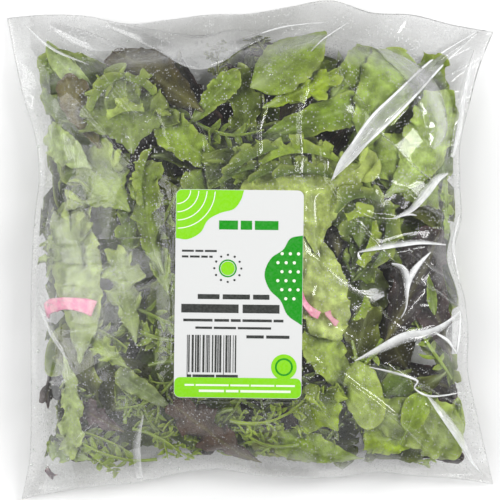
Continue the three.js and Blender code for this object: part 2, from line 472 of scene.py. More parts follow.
def highest_map(points):
    """The height of the film's top over each cell."""
    heights = new_map()
    lower_map(heights, points[..., :2], -points[..., 2], HOLE_ROUNDS)
    return np.where(heights < NOTHING, -heights, 0)


def map_at(heights, xy):
    place = np.clip((xy + MAP_HALF) / MAP_CELL, 0, len(heights) - 1.001)
    cell = place.astype(int)
    x, y = cell[..., 0], cell[..., 1]
    a, b = place[..., 0] - x, place[..., 1] - y
    low = heights[y, x] * (1 - a) + heights[y, x + 1] * a
    high = heights[y + 1, x] * (1 - a) + heights[y + 1, x + 1] * a
    return low * (1 - b) + high * b


# Leaves are grids, s from the stalk to the tip and t from edge to edge.

LEAF_THICK = 0.35
LEAF_GAP = 0.35
FILM_GAP = 0.5
EDGE_IN = 0.016
EDGE_SOFT = 0.07
FOOT_IN = 0.011
FOOT_SOFT = 0.06
HEAD_IN = 0.03
HEAD_SOFT = 0.1
BED_GAP = 0.2
PAST_SEAM = 0.4
# Painted shade and light: a leaf's colour is darkened in its hollows and lightened on its crests.
HOLLOW_SHADE = 0.28
SHADE_RANGE = (0.55, 1.3)
SHADE_ROUNDS = 8
PRESS_ROUNDS = 32
PRESS_UP = 0.85
EASE_ROUNDS = 2
RIB_HEIGHT = 0.9


def butter_outline(s, side):
    s = np.clip((s - 0.03) / 0.97, 0, 1)
    return np.maximum(0.08 * (s < 0.2), s**0.6 * np.sqrt(1 - s**4))


def spoon_outline(s, side):
    blade = 1 - ((s - 0.62) / 0.38) ** 2
    return np.maximum(0.09, np.sqrt(np.maximum(blade, 0)))


def lance_outline(s, side):
    s = np.clip(s, 0, 1)
    return np.maximum(0.1 * (s < 0.3), np.sin(math.pi * s**0.75) ** 0.9)


def oak_outline(s, side):
    whole = s**0.55 * np.sqrt(1 - s**4)
    lobes = 0.5 + 0.5 * np.cos(2 * math.pi * (3.6 * s + 0.35 * side))
    return np.maximum(0.12, whole * (0.55 + 0.45 * lobes**0.6))


def sliver_outline(s, side):
    return np.maximum(0.15, np.sin(math.pi * np.clip(s, 0, 1) ** 0.8) ** 0.7)


def rib_outline(s, side):
    return 1 - 0.6 * s


def stem_outline(s, side):
    return 0.86 + 0.14 * np.cos(2 * math.pi * s)


# Kinds with a midrib: outline, rows, columns, sweep, ruffle height and count, sway, blister, scallops.
KINDS = {
    "butter": (butter_outline, 60, 31, 0.06, 0.06, 4.3, 0.035, 0.9, 0.05),
    "spoon": (spoon_outline, 40, 19, 0.04, 0.035, 2.4, 0.015, 0.4, 0.02),
    "lance": (lance_outline, 44, 17, 0.06, 0.06, 3.0, 0.02, 0.4, 0.03),
    "oak": (oak_outline, 72, 25, 0.16, 0.11, 4.6, 0.06, 0.7, 0.07),
    "sliver": (sliver_outline, 9, 3, 0.0, 0.0, 1.0, 0.0, 0.0, 0.0),
    "rib": (rib_outline, 22, 3, 0.0, 0.0, 1.0, 0.0, 0.0, 0.0),
    "stem": (stem_outline, 22, 9, 0.0, 0.0, 1.0, 0.0, 0.0, 0.0),
}


def smoothed(z, rounds):
    """A grid of heights, evened out along and across."""
    for _ in range(rounds):
        z = z.copy()
        z[1:-1] = (z[:-2] + 2 * z[1:-1] + z[2:]) / 4
        z[:, 1:-1] = (z[:, :-2] + 2 * z[:, 1:-1] + z[:, 2:]) / 4
    return z


def centre_line(base, tip, bend, s):
    """The midrib from base to tip, bent sideways by a share of its length."""
    base, tip = np.array(base, float), np.array(tip, float)
    along = tip - base
    aside = np.array([-along[1], along[0]])
    return base + s[:, None] * along + (4 * bend * s * (1 - s))[:, None] * aside


def headings(line):
    """The unit ways ahead and to the left at each point of a line."""
    ahead = np.gradient(line, axis=0)
    ahead /= np.hypot(ahead[:, 0], ahead[:, 1])[:, None]
    return ahead, np.stack([-ahead[:, 1], ahead[:, 0]], 1)


def off_line(line, out, forward):
    """Points beside a line: how far out to its left and how far forward, in millimetres."""
    ahead, aside = headings(line)
    return line[:, None] + aside[:, None] * out[..., None] + ahead[:, None] * forward[..., None]


def drawn_in(share, least, soft):
    """A share that nears its edge ever more slowly, and never goes past least."""
    inner = soft - least
    eased = least + inner * np.exp((np.minimum(share, soft) - soft) / inner)
    return np.where(share < soft, eased, share)


def inside_bag(xy):
    """The points, with those near the edges drawn in so that leaves end there in round tips."""
    u, v = shares_at(xy, PAST_SEAM)
    u = 1 - drawn_in(1 - drawn_in(u, EDGE_IN, EDGE_SOFT), EDGE_IN, EDGE_SOFT)
    v = 1 - drawn_in(1 - drawn_in(v, FOOT_IN, FOOT_SOFT), HEAD_IN, HEAD_SOFT)
    return spread(u, v), u, v


def crumpled(x, y, starts):
    """The lumps of a blistered leaf, about a centimetre apart."""
    large = np.sin(0.62 * x + 0.25 * y + starts[0]) * np.sin(0.5 * y - 0.31 * x + starts[1])
    small = np.sin(1.05 * x - 0.6 * y + starts[2]) * np.sin(0.95 * y + 0.4 * x + starts[0])
    return large + 0.6 * small


# A curly leaf's ruffles: length, height, sideways lean, and how far in from its edge they start.
RUFFLES = (
    (23.0, 2.6, 1.8, 26.0),
    (10.5, 3.0, 3.0, 15.0),
    (5.2, 2.2, 2.3, 8.0),
)
RUFFLE_WINDING = 1.7
CURLY_ROW = 1.2
CURLY_COLUMN = 0.85
TOOTH = 0.9
TOOTH_WAVE = 4.3
SIDE_FRILL = 1.1
SIDE_WAVE = 7.5
CURLY_BLISTER = 0.7


def ruffled(inward, edge, starts):
    """Waves that grow towards a curly leaf's edge: height, outward, sideways and how near a crest, where
    the colour is lightened as painted light.
    """
    z, outward, sideways, rim = (0 * inward * edge for _ in range(4))
    for n, (wave, height, lean, start) in enumerate(RUFFLES):
        grown = 1 - smoothstep(inward, 0.2 * start, start)
        uneven = 0.7 + 0.3 * np.sin(2 * math.pi * edge / (3.7 * wave) + starts[n])
        turn = 2 * math.pi * edge / wave + 1.3 * np.sin(edge / wave + starts[n + 3])
        turn = turn + RUFFLE_WINDING * np.sin(2.6 * inward / wave + 1.7 * edge / wave + starts[n + 4])
        z = z + height * grown * uneven * np.sin(turn)
        outward = outward + 0.8 * lean * grown * uneven * np.sin(0.8 * turn + starts[n + 1])
        sideways = sideways + lean * grown * uneven * np.cos(turn + 0.5 * math.sin(starts[n + 2]))
        rim = rim + grown * (0.5 + 0.5 * np.sin(turn)) / len(RUFFLES)
    return z, outward, sideways, rim


def side_frill(a, r, length, start):
    """Small waves along a curly leaf's two sides: how far up and how far sideways."""
    beside = smoothstep(np.abs(a), 0.6, 1.0) * smoothstep(r, 0.1, 0.35)
    wave = 2 * math.pi * r * length / SIDE_WAVE + start + 1.5 * np.sin(0.3 * r * length + np.sign(a))
    return SIDE_FRILL * beside * np.sin(wave), 0.5 * SIDE_FRILL * beside * np.cos(wave)


def curly_grid(length, fan, coarse):
    """Shares r from the stalk to the edge and a from side to side, closer where there are ruffles."""
    rows = max(int(length / CURLY_ROW * coarse), 8)
    columns = max(int(2 * fan * length / CURLY_COLUMN * coarse), 12) // 2 * 2 + 1
    r = 1 - 0.96 * (1 - np.linspace(0, 1, rows)[:, None]) ** 1.3
    return r, np.linspace(-1, 1, columns)[None, :]


def curly_form(base, tip, width, coarse, roll, cup, curl):
    """A frilled leaf that spreads from its stalk, with its edge much longer than its middle."""
    base, tip = np.array(base, float), np.array(tip, float)
    length = math.dist(base, tip)
    ahead = (tip - base) / length
    aside = np.array([-ahead[1], ahead[0]])
    fan = min(1.5, 1.05 * width / length)
    r, a = curly_grid(length, fan, coarse)
    starts = rng.uniform(0, 2 * math.pi, 8)
    lobes = 0.1 * np.sin(4.4 * a + starts[0]) + 0.07 * np.sin(10 * a + starts[1])
    edge = a * fan * length
    z, outward, sideways, rim = ruffled((1 - r) * length, edge, starts)
    up, beside = side_frill(a, r, length, starts[6])
    teeth = np.sin(2 * math.pi * edge / TOOTH_WAVE + 2 * np.sin(0.5 * edge + starts[7]))
    reach = length * (1 - 0.2 * a**2 + lobes * r)
    out = reach * r + outward + TOOTH * smoothstep(r, 0.85, 1.0) * teeth
    turned = a * fan * (0.3 + 0.7 * r**0.6) + (sideways + beside) / np.maximum(out, 4)
    forward, across = out * np.cos(turned), out * np.sin(turned)
    xy = base + forward[..., None] * ahead + across[..., None] * aside
    rib = np.exp(-((across / 1.3) ** 2)) * (1 - 0.8 * r)
    lumps = crumpled(xy[..., 0], xy[..., 1], starts) * smoothstep(r, 0.1, 0.5)
    z = z + up + CURLY_BLISTER * lumps - RIB_HEIGHT * rib
    z = z + cup * length * 0.5 * r**2 + roll * out * np.sin(turned) - curl * length * r**2.5
    uv = np.stack(np.broadcast_arrays((a + 1) / 2, r), -1)
    return xy, z, uv, np.clip(rim * smoothstep(r, 0.6, 1.0), 0, 1)


FRILL_ROW = 0.75
FRILL_COLUMNS = 9
FRILL_WAVE = 5.2
FRILL_HEIGHT = 2.2
FRILL_SWELL = 1.3
FRILL_LOOP = 2.1


def frill_form(base, tip, width, coarse, bend):
    """A curled margin: a strip along a bent line, its outer edge much longer than its inner one."""
    length = math.dist(base, tip)
    rows = max(int(length / FRILL_ROW * coarse), 12)
    s, t = np.linspace(0, 1, rows), np.linspace(0, 1, FRILL_COLUMNS)[None, :]
    line = centre_line(base, tip, bend, s)
    starts = rng.uniform(0, 2 * math.pi, 5)
    along = s[:, None] * length
    ends = np.maximum(np.sin(math.pi * np.clip(s[:, None], 0.01, 0.99)), 0.05) ** 0.4
    turn = 2 * math.pi * along / FRILL_WAVE + 1.5 * np.sin(along / 2.9 + starts[0])
    turn = turn + 1.1 * np.sin(along / 6.7 + starts[1]) + 0.8 * t
    slow = 2 * math.pi * along / (2.6 * FRILL_WAVE) + starts[2]
    grown = t**1.2 * ends
    z = grown * (FRILL_HEIGHT * np.sin(turn) + FRILL_SWELL * np.sin(slow))
    forward = grown * FRILL_LOOP * np.cos(turn)
    uneven = 0.78 + 0.22 * np.sin(0.5 * turn + starts[3])
    out = t * width * ends * uneven + 0.7 * grown * np.sin(1.9 * turn + starts[4])
    uv = np.stack(np.broadcast_arrays(0.6 + 0.4 * t, 0.5 + 0 * along), -1)
    return off_line(line, out, forward), z, uv, np.broadcast_to(np.clip(t**2, 0, 1), z.shape)


def half_width(outline, s, side, width, scallop, starts):
    """Half of a leaf's width at each share s, with its scallops, in millimetres."""
    wobble = 1 + 0.07 * np.sin(9 * s + starts[0] + side)
    wobble = wobble + scallop * np.sin(31 * s + starts[1] + 2 * side)
    wobble = wobble + 0.7 * scallop * np.sin(57 * s + starts[2] - side + 2 * np.sin(7 * s))
    return np.maximum(outline(s, side) * wobble * width / 2, 0.2)


def plain_form(kind, base, tip, width, coarse, bend, roll, cup, curl):
    """A leaf with a midrib, its edge waved, and its blade blistered as its kind has them."""
    outline, rows, columns, sweep, ruffle, waves, sway, blister, scallop = KINDS[kind]
    rows = max(int(rows * coarse), 4)
    columns = max(int(columns * coarse) // 2 * 2 + 1, 3)
    s, t = 1 - (1 - np.linspace(0, 1, rows)) ** 1.5, np.linspace(-1, 1, columns)
    line = centre_line(base, tip, bend, s)
    length = math.dist(base, tip)
    s, t = s[:, None], t[None, :]
    side = np.where(t < 0, -1.0, 1.0)
    starts = rng.uniform(0, 2 * math.pi, 6)
    half = half_width(outline, s, side, width, scallop, starts)
    edge = smoothstep(np.abs(t), 0.2, 1.0) ** 1.4
    grown = smoothstep(s, 0.08, 0.4)
    wave = 2 * math.pi * waves * s
    first = np.sin(wave + starts[2] + side * 1.3 + 0.7 * np.sin(5 * s + starts[4]))
    second = np.sin(1.93 * wave + starts[3] - side)
    swayed = sway * width * edge * grown * np.cos(1.4 * wave + starts[5] + side)
    forward = sweep * width * np.abs(t) ** 1.5 * (1 - s) ** 0.3 + swayed
    out = half * t * (1 - 0.25 * edge * ruffle * 4 * np.abs(second))
    xy = off_line(line, out, forward)
    rib = np.exp(-((t * half / 1.1) ** 2)) * (1 - 0.7 * s) * (blister > 0)
    z = ruffle * width * edge * grown * (first + 0.45 * second)
    z = z + blister * (crumpled(xy[..., 0], xy[..., 1], starts) * grown) - RIB_HEIGHT * rib
    z = z + cup * width * 0.5 * t**2 + roll * half * t - curl * length * s**2.5
    uv = np.stack(np.broadcast_arrays((t + 1) / 2, s), -1)
    # The rim: the edges and tip, more on the wave's crests. The colour is lightened there partly as a paler
    # margin and partly as painted light.
    rim = np.clip(np.abs(t) ** 5 * (0.7 + 0.3 * first) * grown + 0.6 * smoothstep(s, 0.9, 1), 0, 1)
    return xy, z, uv, np.broadcast_to(rim, z.shape)


def leaf_form(kind, base, tip, width, coarse=1, bend=0, roll=0, cup=0, curl=0):
    """A leaf's points from above, its height over a level sheet, its uv and how near its rim."""
    if kind == "curly":
        return curly_form(base, tip, width, coarse, roll, cup, curl)
    if kind == "frill":
        return frill_form(base, tip, width, coarse, bend)
    return plain_form(kind, base, tip, width, coarse, bend, roll, cup, curl)


def leaf_solid(points, thick):
    """The two faces and the rim of a thin leaf, from a grid of points on its upper face."""
    rows, columns = points.shape[:2]
    normal = np.cross(np.gradient(points, axis=1), np.gradient(points, axis=0))
    normal /= np.maximum(np.linalg.norm(normal, axis=-1), 1e-9)[..., None]
    normal *= np.where(normal[..., 2:] < 0, -1, 1)
    both = np.vstack([points.reshape(-1, 3), (points - normal * thick).reshape(-1, 3)])
    count = rows * columns
    grid = np.arange(count).reshape(rows, columns)
    ring = np.concatenate([grid[0, :-1], grid[:-1, -1], grid[-1, :0:-1], grid[:0:-1, 0]])
    after = np.roll(ring, -1)
    rim = np.stack([after, ring, ring + count, after + count], 1)
    top = grid_faces(rows, columns)
    return both, np.vstack([top, top[:, ::-1] + count, rim])[:, ::-1]


def shaded(z, rim, colour):
    """A leaf's colour on both faces, with painted shade in its hollows and painted light on its crests, and
    its rim's share as alpha.
    """
    shade = np.clip(1 + HOLLOW_SHADE * (z - smoothed(z, SHADE_ROUNDS)), *SHADE_RANGE).ravel()
    tint_and_shade = np.ones((2 * z.size, 4))
    tint_and_shade[:, :3] = linear(*colour) * np.concatenate([shade, shade])[:, None]
    tint_and_shade[:, 3] = np.concatenate([rim.ravel(), rim.ravel()])
    return tint_and_shade


FROND_TWIGS = {"count": 2, "coarse": 0.45}
RIB_SHARE = 0.75
TWIG_SHARE = 0.9


class Pile:
    """The leaves laid so far, gathered by piece, and the heights that are still free under them."""

    def __init__(self, ceiling):
        self.ceiling = ceiling
        self.parts = {}

    def lay(self, kind, base, tip, width, colour, piece=None, depth=0, thick=LEAF_THICK, **shape):
        """Lays one leaf close under those above it, and over the back sheet."""
        xy, z, uv, rim = leaf_form(kind, base, tip, width, **shape)
        xy, u, v = inside_bag(xy)
        limit = map_at(self.ceiling, xy) - LEAF_GAP
        bed = back_height(u, v) + thick + BED_GAP
        z = np.minimum(smoothed(limit, PRESS_ROUNDS) - depth + z - z.max() * PRESS_UP, limit)
        z = np.maximum(np.minimum(smoothed(z, EASE_ROUNDS), limit), bed)
        lower_map(self.ceiling, xy, z - thick)
        solid, faces = leaf_solid(np.concatenate([xy, z[..., None]], -1), thick)
        solid[:, 2] = np.maximum(solid[:, 2], BED_GAP)
        both_uv = np.vstack([uv.reshape(-1, 2)] * 2)
        laid = self.parts.setdefault(piece or "leaves_" + kind, [])
        laid.append((solid, faces, both_uv, shaded(z, rim, colour)))

    def lay_frond(self, base, tip, width, colour, count=7, thin=2.6, order=1, bend=0, depth=0, coarse=1):
        """A finely cut leaf: a rib with slivers on both sides, which bear finer ones."""
        shared = {"depth": depth, "piece": "leaves_fine"}
        self.lay("rib", base, tip, thin * RIB_SHARE, colour, bend=bend, coarse=coarse, **shared)
        shares = np.linspace(0, 1, 2 * count + 2)
        line = centre_line(base, tip, bend, shares)
        ahead, aside = headings(line)
        for n in range(max(1, count // 2), 2 * count + 1):
            side = 1 if n % 2 else -1
            way = side * aside[n] + rng.uniform(0.4, 1.3) * ahead[n]
            reach = width / 2 * (0.45 + 0.55 * math.sin(math.pi * shares[n])) * rng.uniform(0.6, 1.3)
            end = line[n] + way / np.hypot(*way) * reach
            turned = side * rng.uniform(-0.25, 0.1)
            if order > 1:
                finer = {"thin": thin * RIB_SHARE, "order": order - 1, "bend": turned, "depth": depth}
                self.lay_frond(line[n], end, reach * TWIG_SHARE, colour, **FROND_TWIGS, **finer)
            else:
                wide = thin * rng.uniform(0.8, 1.4)
                self.lay("sliver", line[n], end, wide, colour, bend=turned, **shared)

    def build(self, piece, material):
        solids, faces, uvs, tints_and_shades = zip(*self.parts[piece])
        points, faces = joined(solids, faces)
        return mesh_object(piece, points, faces, material, np.vstack(uvs), np.vstack(tints_and_shades))


# The leaves that show, from the top down, in millimetres from the bag's middle: base, tip, width and
# colour. Stems go on with their bend and thickness, frills with their bend, and the rest have a kind
# before and other settings after.

GREEN, OLIVE, DEEP = (114, 140, 30), (120, 128, 38), (64, 84, 24)
BRIGHT, LIME, PALE = (146, 174, 34), (156, 182, 20), (178, 200, 92)
BROWN, PURPLE, SOOT = (56, 50, 18), (44, 34, 40), (58, 52, 44)
MOSS, SAGE, FERN = (130, 154, 44), (162, 184, 74), (90, 114, 26)
STRAW, HAY = (170, 188, 112), (166, 186, 112)
PINK, WINE = (226, 108, 156), (70, 30, 50)

PINK_STEMS = (
    ((-77, -29), (-106, -31), 8, PINK, -0.13, 1.2),
    ((24, -21), (34, -32), 4, PINK, -0.1, 1.6),
    ((38, -30), (43, -36), 3, (190, 96, 130), -0.1, 1.6),
)
FRILLS = (
    ((-12, 36), (14, 50), 9, FERN, 0.05),
    ((6, 42), (43, 43), 10, BRIGHT, 0.14),
    ((12, 35), (40, 35), 9, FERN, 0.1),
    ((0, 33), (26, 39), 9, FERN, 0.1),
    ((-14, 32), (4, 40), 7, FERN, 0.1),
    ((43, 18), (66, 21), 9, FERN, 0.26),
    ((65, 25), (60, -8), 9, FERN, 0.12),
    ((48, 14), (60, 16), 8, LIME, 0.1),
    ((60, 14), (52, -6), 8, LIME, 0.1),
    ((48, 6), (54, 14), 7, FERN, 0.1),
    ((-78, 68), (-62, 86), 8, MOSS, 0.12),
    ((-64, 84), (-48, 76), 8, MOSS, 0.12),
    ((-70, 64), (-52, 68), 8, PALE, 0.12),
    ((-52, 22), (-48, 50), 6, MOSS, 0.1),
    ((56, -22), (50, -34), 6, BRIGHT, 0.1),
)
RED = {"piece": "leaves_red"}
BOWED, CUPPED = {"cup": -0.1}, {"cup": 0.05}
FULL = {"order": 2, "count": 5, "thin": 2.4}
SPARSE = {"order": 2, "count": 4, "thin": 2.4}
HERO_LEAVES = (
    ("curly", (-58, 46), (-62, 84), 36, (136, 156, 70), {"cup": 0.08}),
    ("butter", (-23, 68), (-68, 102), 40, (72, 66, 12), {**RED, **BOWED}),
    ("butter", (-74, 50), (-92, 86), 24, (112, 104, 54), {**RED, "depth": 1}),
    ("lance", (-78, 80), (-102, 111), 11, HAY, {"bend": 0.12}),
    ("lance", (-88, 82), (-97, 100), 5, HAY, {"bend": -0.2}),
    ("curly", (33, -4), (27, 52), 38, (200, 218, 112), {"cup": 0.02, "depth": 0.5}),
    ("curly", (22, 16), (2, 45), 34, BRIGHT, {**CUPPED, "depth": 1}),
    ("butter", (24, 20), (40, -44), 36, (192, 208, 122), {"bend": 0.03, **BOWED}),
    ("curly", (18, 30), (-18, 36), 30, FERN, {**CUPPED, "depth": 1}),
    ("lance", (0, 80), (38, 112), 28, MOSS, {**BOWED, "bend": -0.05}),
    ("butter", (56, 46), (78, 99), 44, (158, 184, 82), {"cup": -0.14, "bend": 0.06}),
    ("oak", (6, 70), (44, 86), 22, LIME, {}),
    ("butter", (66, 26), (98, 80), 44, (170, 194, 96), {"cup": -0.12, "bend": -0.1}),
    ("curly", (54, 0), (57, 31), 30, GREEN, CUPPED),
    ("curly", (50, -10), (64, 16), 24, FERN, CUPPED),
    ("curly", (50, -16), (58, -1), 14, GREEN, CUPPED),
    ("butter", (-2, 48), (72, 70), 26, GREEN, {**BOWED, "bend": 0.08}),
    ("butter", (38, 72), (62, 102), 24, MOSS, BOWED),
    ("butter", (36, 38), (90, 50), 34, (154, 178, 72), {**BOWED, "depth": 1}),
    ("butter", (-8, 40), (-44, 68), 27, (142, 168, 48), {**BOWED, "bend": 0.1}),
    ("butter", (-30, 62), (-6, 88), 18, MOSS, {"cup": 0.1, "roll": 0.1}),
    ("butter", (-78, 40), (-105, 58), 28, (180, 200, 128), BOWED),
    ("curly", (-58, 18), (-84, 44), 26, (150, 172, 72), {}),
    ("curly", (-82, -8), (-100, 14), 24, (160, 178, 104), CUPPED),
    ("butter", (-84, -56), (-90, 12), 38, STRAW, {**BOWED, "bend": -0.05}),
    ("oak", (-56, -46), (-66, 0), 30, (156, 174, 98), {"cup": -0.08}),
    ("butter", (-104, -14), (-82, 26), 22, PALE, BOWED),
    ("oak", (-42, -12), (-48, 44), 26, MOSS, {"bend": 0.1, **BOWED}),
    ("oak", (-62, -12), (-58, 26), 22, GREEN, {"depth": 1}),
    ("butter", (-40, -22), (-46, 2), 15, MOSS, BOWED),
    ("oak", (-92, -52), (-90, -102), 20, STRAW, {"bend": 0.06}),
    ("oak", (6, -110), (-38, -76), 30, (84, 62, 50), {**RED, **BOWED}),
    ("oak", (-60, -58), (-78, -44), 18, SAGE, BOWED),
    ("butter", (-38, -78), (-66, -60), 15, (138, 154, 100), {"cup": -0.12}),
    ("oak", (-78, -104), (-104, -98), 15, (150, 170, 100), BOWED),
    ("frond", (-46, -104), (-88, -92), 16, BRIGHT, {"bend": 0.1, "thin": 2.6}),
    ("frond", (-96, -92), (-66, -116), 14, SAGE, {"bend": 0.1, "thin": 3}),
    ("frond", (-6, -92), (-40, -72), 24, LIME, {"bend": 0.12, **FULL}),
    ("frond", (-10, -84), (26, -74), 20, LIME, {"bend": -0.15, **FULL}),
    ("frond", (-34, -58), (-66, -78), 22, GREEN, {"bend": 0.15, "order": 2, "count": 5, "thin": 2.2}),
    ("frond", (-58, -88), (-28, -108), 18, BRIGHT, {"bend": 0.1, "order": 2, "count": 4, "thin": 2.2}),
    ("frond", (24, -96), (-8, -82), 20, BRIGHT, {"bend": 0.2, **SPARSE}),
    ("frond", (-36, -44), (-62, -34), 16, MOSS, {"bend": 0.1, "count": 6, "thin": 3}),
    ("curly", (44, -90), (28, -70), 22, LIME, {}),
    ("spoon", (50, -44), (60, -88), 20, (176, 198, 88), {"cup": -0.14}),
    ("butter", (50, -74), (30, -36), 30, SAGE, {"cup": 0.12, "roll": 0.12}),
    ("spoon", (74, -96), (86, -70), 14, BRIGHT, BOWED),
    ("butter", (48, -78), (107, -97), 42, (146, 166, 74), {"cup": -0.14, "bend": 0.06}),
    ("butter", (84, -96), (56, -92), 26, LIME, BOWED),
    ("butter", (57, -106), (12, -94), 26, MOSS, {"cup": -0.12}),
    ("oak", (30, -108), (0, -88), 22, OLIVE, BOWED),
    ("spoon", (106, -98), (107, -74), 12, SAGE, {}),
    ("spoon", (60, -80), (78, -62), 17, FERN, BOWED),
    ("lance", (91, -32), (88, -12), 5, GREEN, {}),
    ("butter", (66, -46), (96, 10), 40, PURPLE, {**RED, "cup": -0.14}),
    ("oak", (103, 4), (100, 34), 16, BRIGHT, {}),
    ("butter", (104, -56), (78, -4), 36, (60, 48, 52), {**RED, **BOWED}),
    ("oak", (52, 40), (96, 26), 26, MOSS, {"cup": -0.12}),
    ("frond", (14, 84), (2, 112), 16, SOOT, SPARSE),
    ("frond", (-16, 78), (-16, 106), 16, SOOT, SPARSE),
    ("oak", (20, 84), (2, 106), 20, (46, 44, 34), {**RED, "depth": 2}),
    ("oak", (-62, -90), (-88, -76), 20, (96, 78, 84), {**RED, "depth": 2}),
    ("lance", (43, -4), (45, 44), 14, (50, 46, 40), {**RED, "depth": 3}),
    ("stem", (-104, -109), (-98, -115), 4, WINE, {"thick": 1, "piece": "stems"}),
    ("butter", (90, 20), (108, 62), 26, FERN, {"cup": -0.12, "depth": 1}),
    ("oak", (-20, -50), (10, -10), 40, OLIVE, {"depth": 3}),
    ("butter", (10, 0), (-30, 38), 34, GREEN, {"depth": 3}),
)

FILL_LEAVES = 190
FILL_FRONDS = 56
FROND_TOP = -40
FROND_HALF = (11, 20)
FROND_WIDTH = 16
FROND_COLOURS = (GREEN, MOSS, BRIGHT, DEEP)
FILL_KINDS = ("butter", "spoon", "oak", "oak", "butter", "curly", "lance")
FILL_WIDTHS = {"butter": 0.6, "spoon": 0.45, "oak": 0.55, "curly": 0.9, "lance": 0.35}
FILL_COLOURS = (GREEN, OLIVE, DEEP, FERN, MOSS, DEEP, GREEN, BROWN, PURPLE)
FILL_LENGTHS = (34, 66)
FILL_SHORTEST = 0.6
# How far the fill leaves are darkened, as painted shade.
FILL_PAINTED_SHADE = (0.5, 0.95)
FILL_RED = 85
FILL_SHAPES = (
    ("depth", 1, 6),
    ("bend", -0.15, 0.15),
    ("cup", -0.15, 0.1),
    ("roll", -0.15, 0.15),
    ("curl", 0, 0.1),
)
FILL_EDGE = 0.06
FILL_FOOT = 0.07
FILL_HEAD = 0.86
FILL_REACH = np.array((107, 104))
FILL_LEAST = 7
FILL_COARSE = 0.43
GOLDEN = (0.7548776662466927, 0.5698402909980532)


def hero_leaves(pile):
    """The leaves that lie where they are told to: stems and curled margins first, as they are on top."""
    for base, tip, width, colour, bend, thick in PINK_STEMS:
        pile.lay("stem", base, tip, width, colour, bend=bend, thick=thick, piece="stems")
    for base, tip, width, colour, bend in FRILLS:
        pile.lay("frill", base, tip, width, colour, bend=bend, piece="leaves_curly")
    for kind, base, tip, width, colour, more in HERO_LEAVES:
        if kind == "frond":
            pile.lay_frond(base, tip, width, colour, **more)
        else:
            pile.lay(kind, base, tip, width, colour, **more)


def spread_evenly(n):
    """The nth of many even places over the bag."""
    low, high = np.array((FILL_EDGE, FILL_FOOT)), np.array((1 - FILL_EDGE, FILL_HEAD))
    return spread(*(low + (high - low) * ((0.5 + np.array(GOLDEN) * (n + 1)) % 1)))


def way_at(turn):
    return np.array([math.cos(turn), math.sin(turn)])


def fill_fronds(pile):
    """Finely cut leaves between those that show."""
    for n in range(FILL_FRONDS):
        middle = spread_evenly(n)
        if middle[1] > FROND_TOP and n % 4:
            continue
        turn = rng.uniform(0, 2 * math.pi)
        half = way_at(turn) * rng.uniform(*FROND_HALF)
        colour = FROND_COLOURS[n % len(FROND_COLOURS)]
        bend = rng.uniform(-0.2, 0.2)
        pile.lay_frond(middle - half, middle + half, FROND_WIDTH, colour, bend=bend, count=6, depth=0.5)


def fill_leaves(pile):
    """The leaves under those that show, spread evenly over the bag and down through it."""
    for n in range(FILL_LEAVES):
        middle = spread_evenly(n)
        turn = rng.uniform(0, 2 * math.pi)
        kind = FILL_KINDS[rng.integers(len(FILL_KINDS))]
        colour = FILL_COLOURS[rng.integers(len(FILL_COLOURS))]
        length = rng.uniform(*FILL_LENGTHS)
        room = np.maximum(FILL_REACH - np.abs(middle), FILL_LEAST)
        half = np.clip(way_at(turn) * length / 2, -room, room)
        length = max(2 * np.hypot(*half), FILL_SHORTEST * length)
        width = length * FILL_WIDTHS[kind] * rng.uniform(0.8, 1.15)
        # Painted shade: each fill leaf's colour is darkened at random, for the shadow on the lower leaves.
        colour = tuple(np.array(colour) * rng.uniform(*FILL_PAINTED_SHADE))
        red = max(colour) < FILL_RED and colour[1] < colour[0]
        shape = {name: rng.uniform(low, high) for name, low, high in FILL_SHAPES}
        piece = "leaves_red" if red else None
        pile.lay(kind, middle - half, middle + half, width, colour, piece, coarse=FILL_COARSE, **shape)


# The label's paper and its print, in millimetres from the label's own middle.

PAPER_THICK = 0.15
PAPER_GAP = 0.12
PRINT_LIFT = 0.04
PRINT_GAP = 0.01
LABEL_STEP = 3
CORNER_POINTS = 7


def arc(middle, radius, start, end, count=24):
    turn = np.radians(np.linspace(start, end, count))
    return [(middle[0] + radius * math.cos(a), middle[1] + radius * math.sin(a)) for a in turn]


def rounded(left, low, right, high, corner):
    """A box with round corners."""
    middles = (
        (right - corner, low + corner),
        (right - corner, high - corner),
        (left + corner, high - corner),
        (left + corner, low + corner),
    )
    shape = []
    for n, middle in enumerate(middles):
        shape += arc(middle, corner, 90 * n - 90, 90 * n, CORNER_POINTS)
    return shape


def bar(left, low, right, high):
    return [(left, low), (right, low), (right, high), (left, high)]


def words(left, right, low, height, gap, sizes):
    """A line of print as plain bars, one for each word."""
    scale = (right - left - gap * (len(sizes) - 1)) / sum(sizes)
    bars = []
    for size in sizes:
        bars.append(bar(left, low, left + size * scale, low + height))
        left += size * scale + gap
    return bars


def label_to_bag(a, b):
    c, s = math.cos(LABEL_TURN), math.sin(LABEL_TURN)
    return np.stack([LABEL_AT[0] + a * c - b * s, LABEL_AT[1] + a * s + b * c], -1)


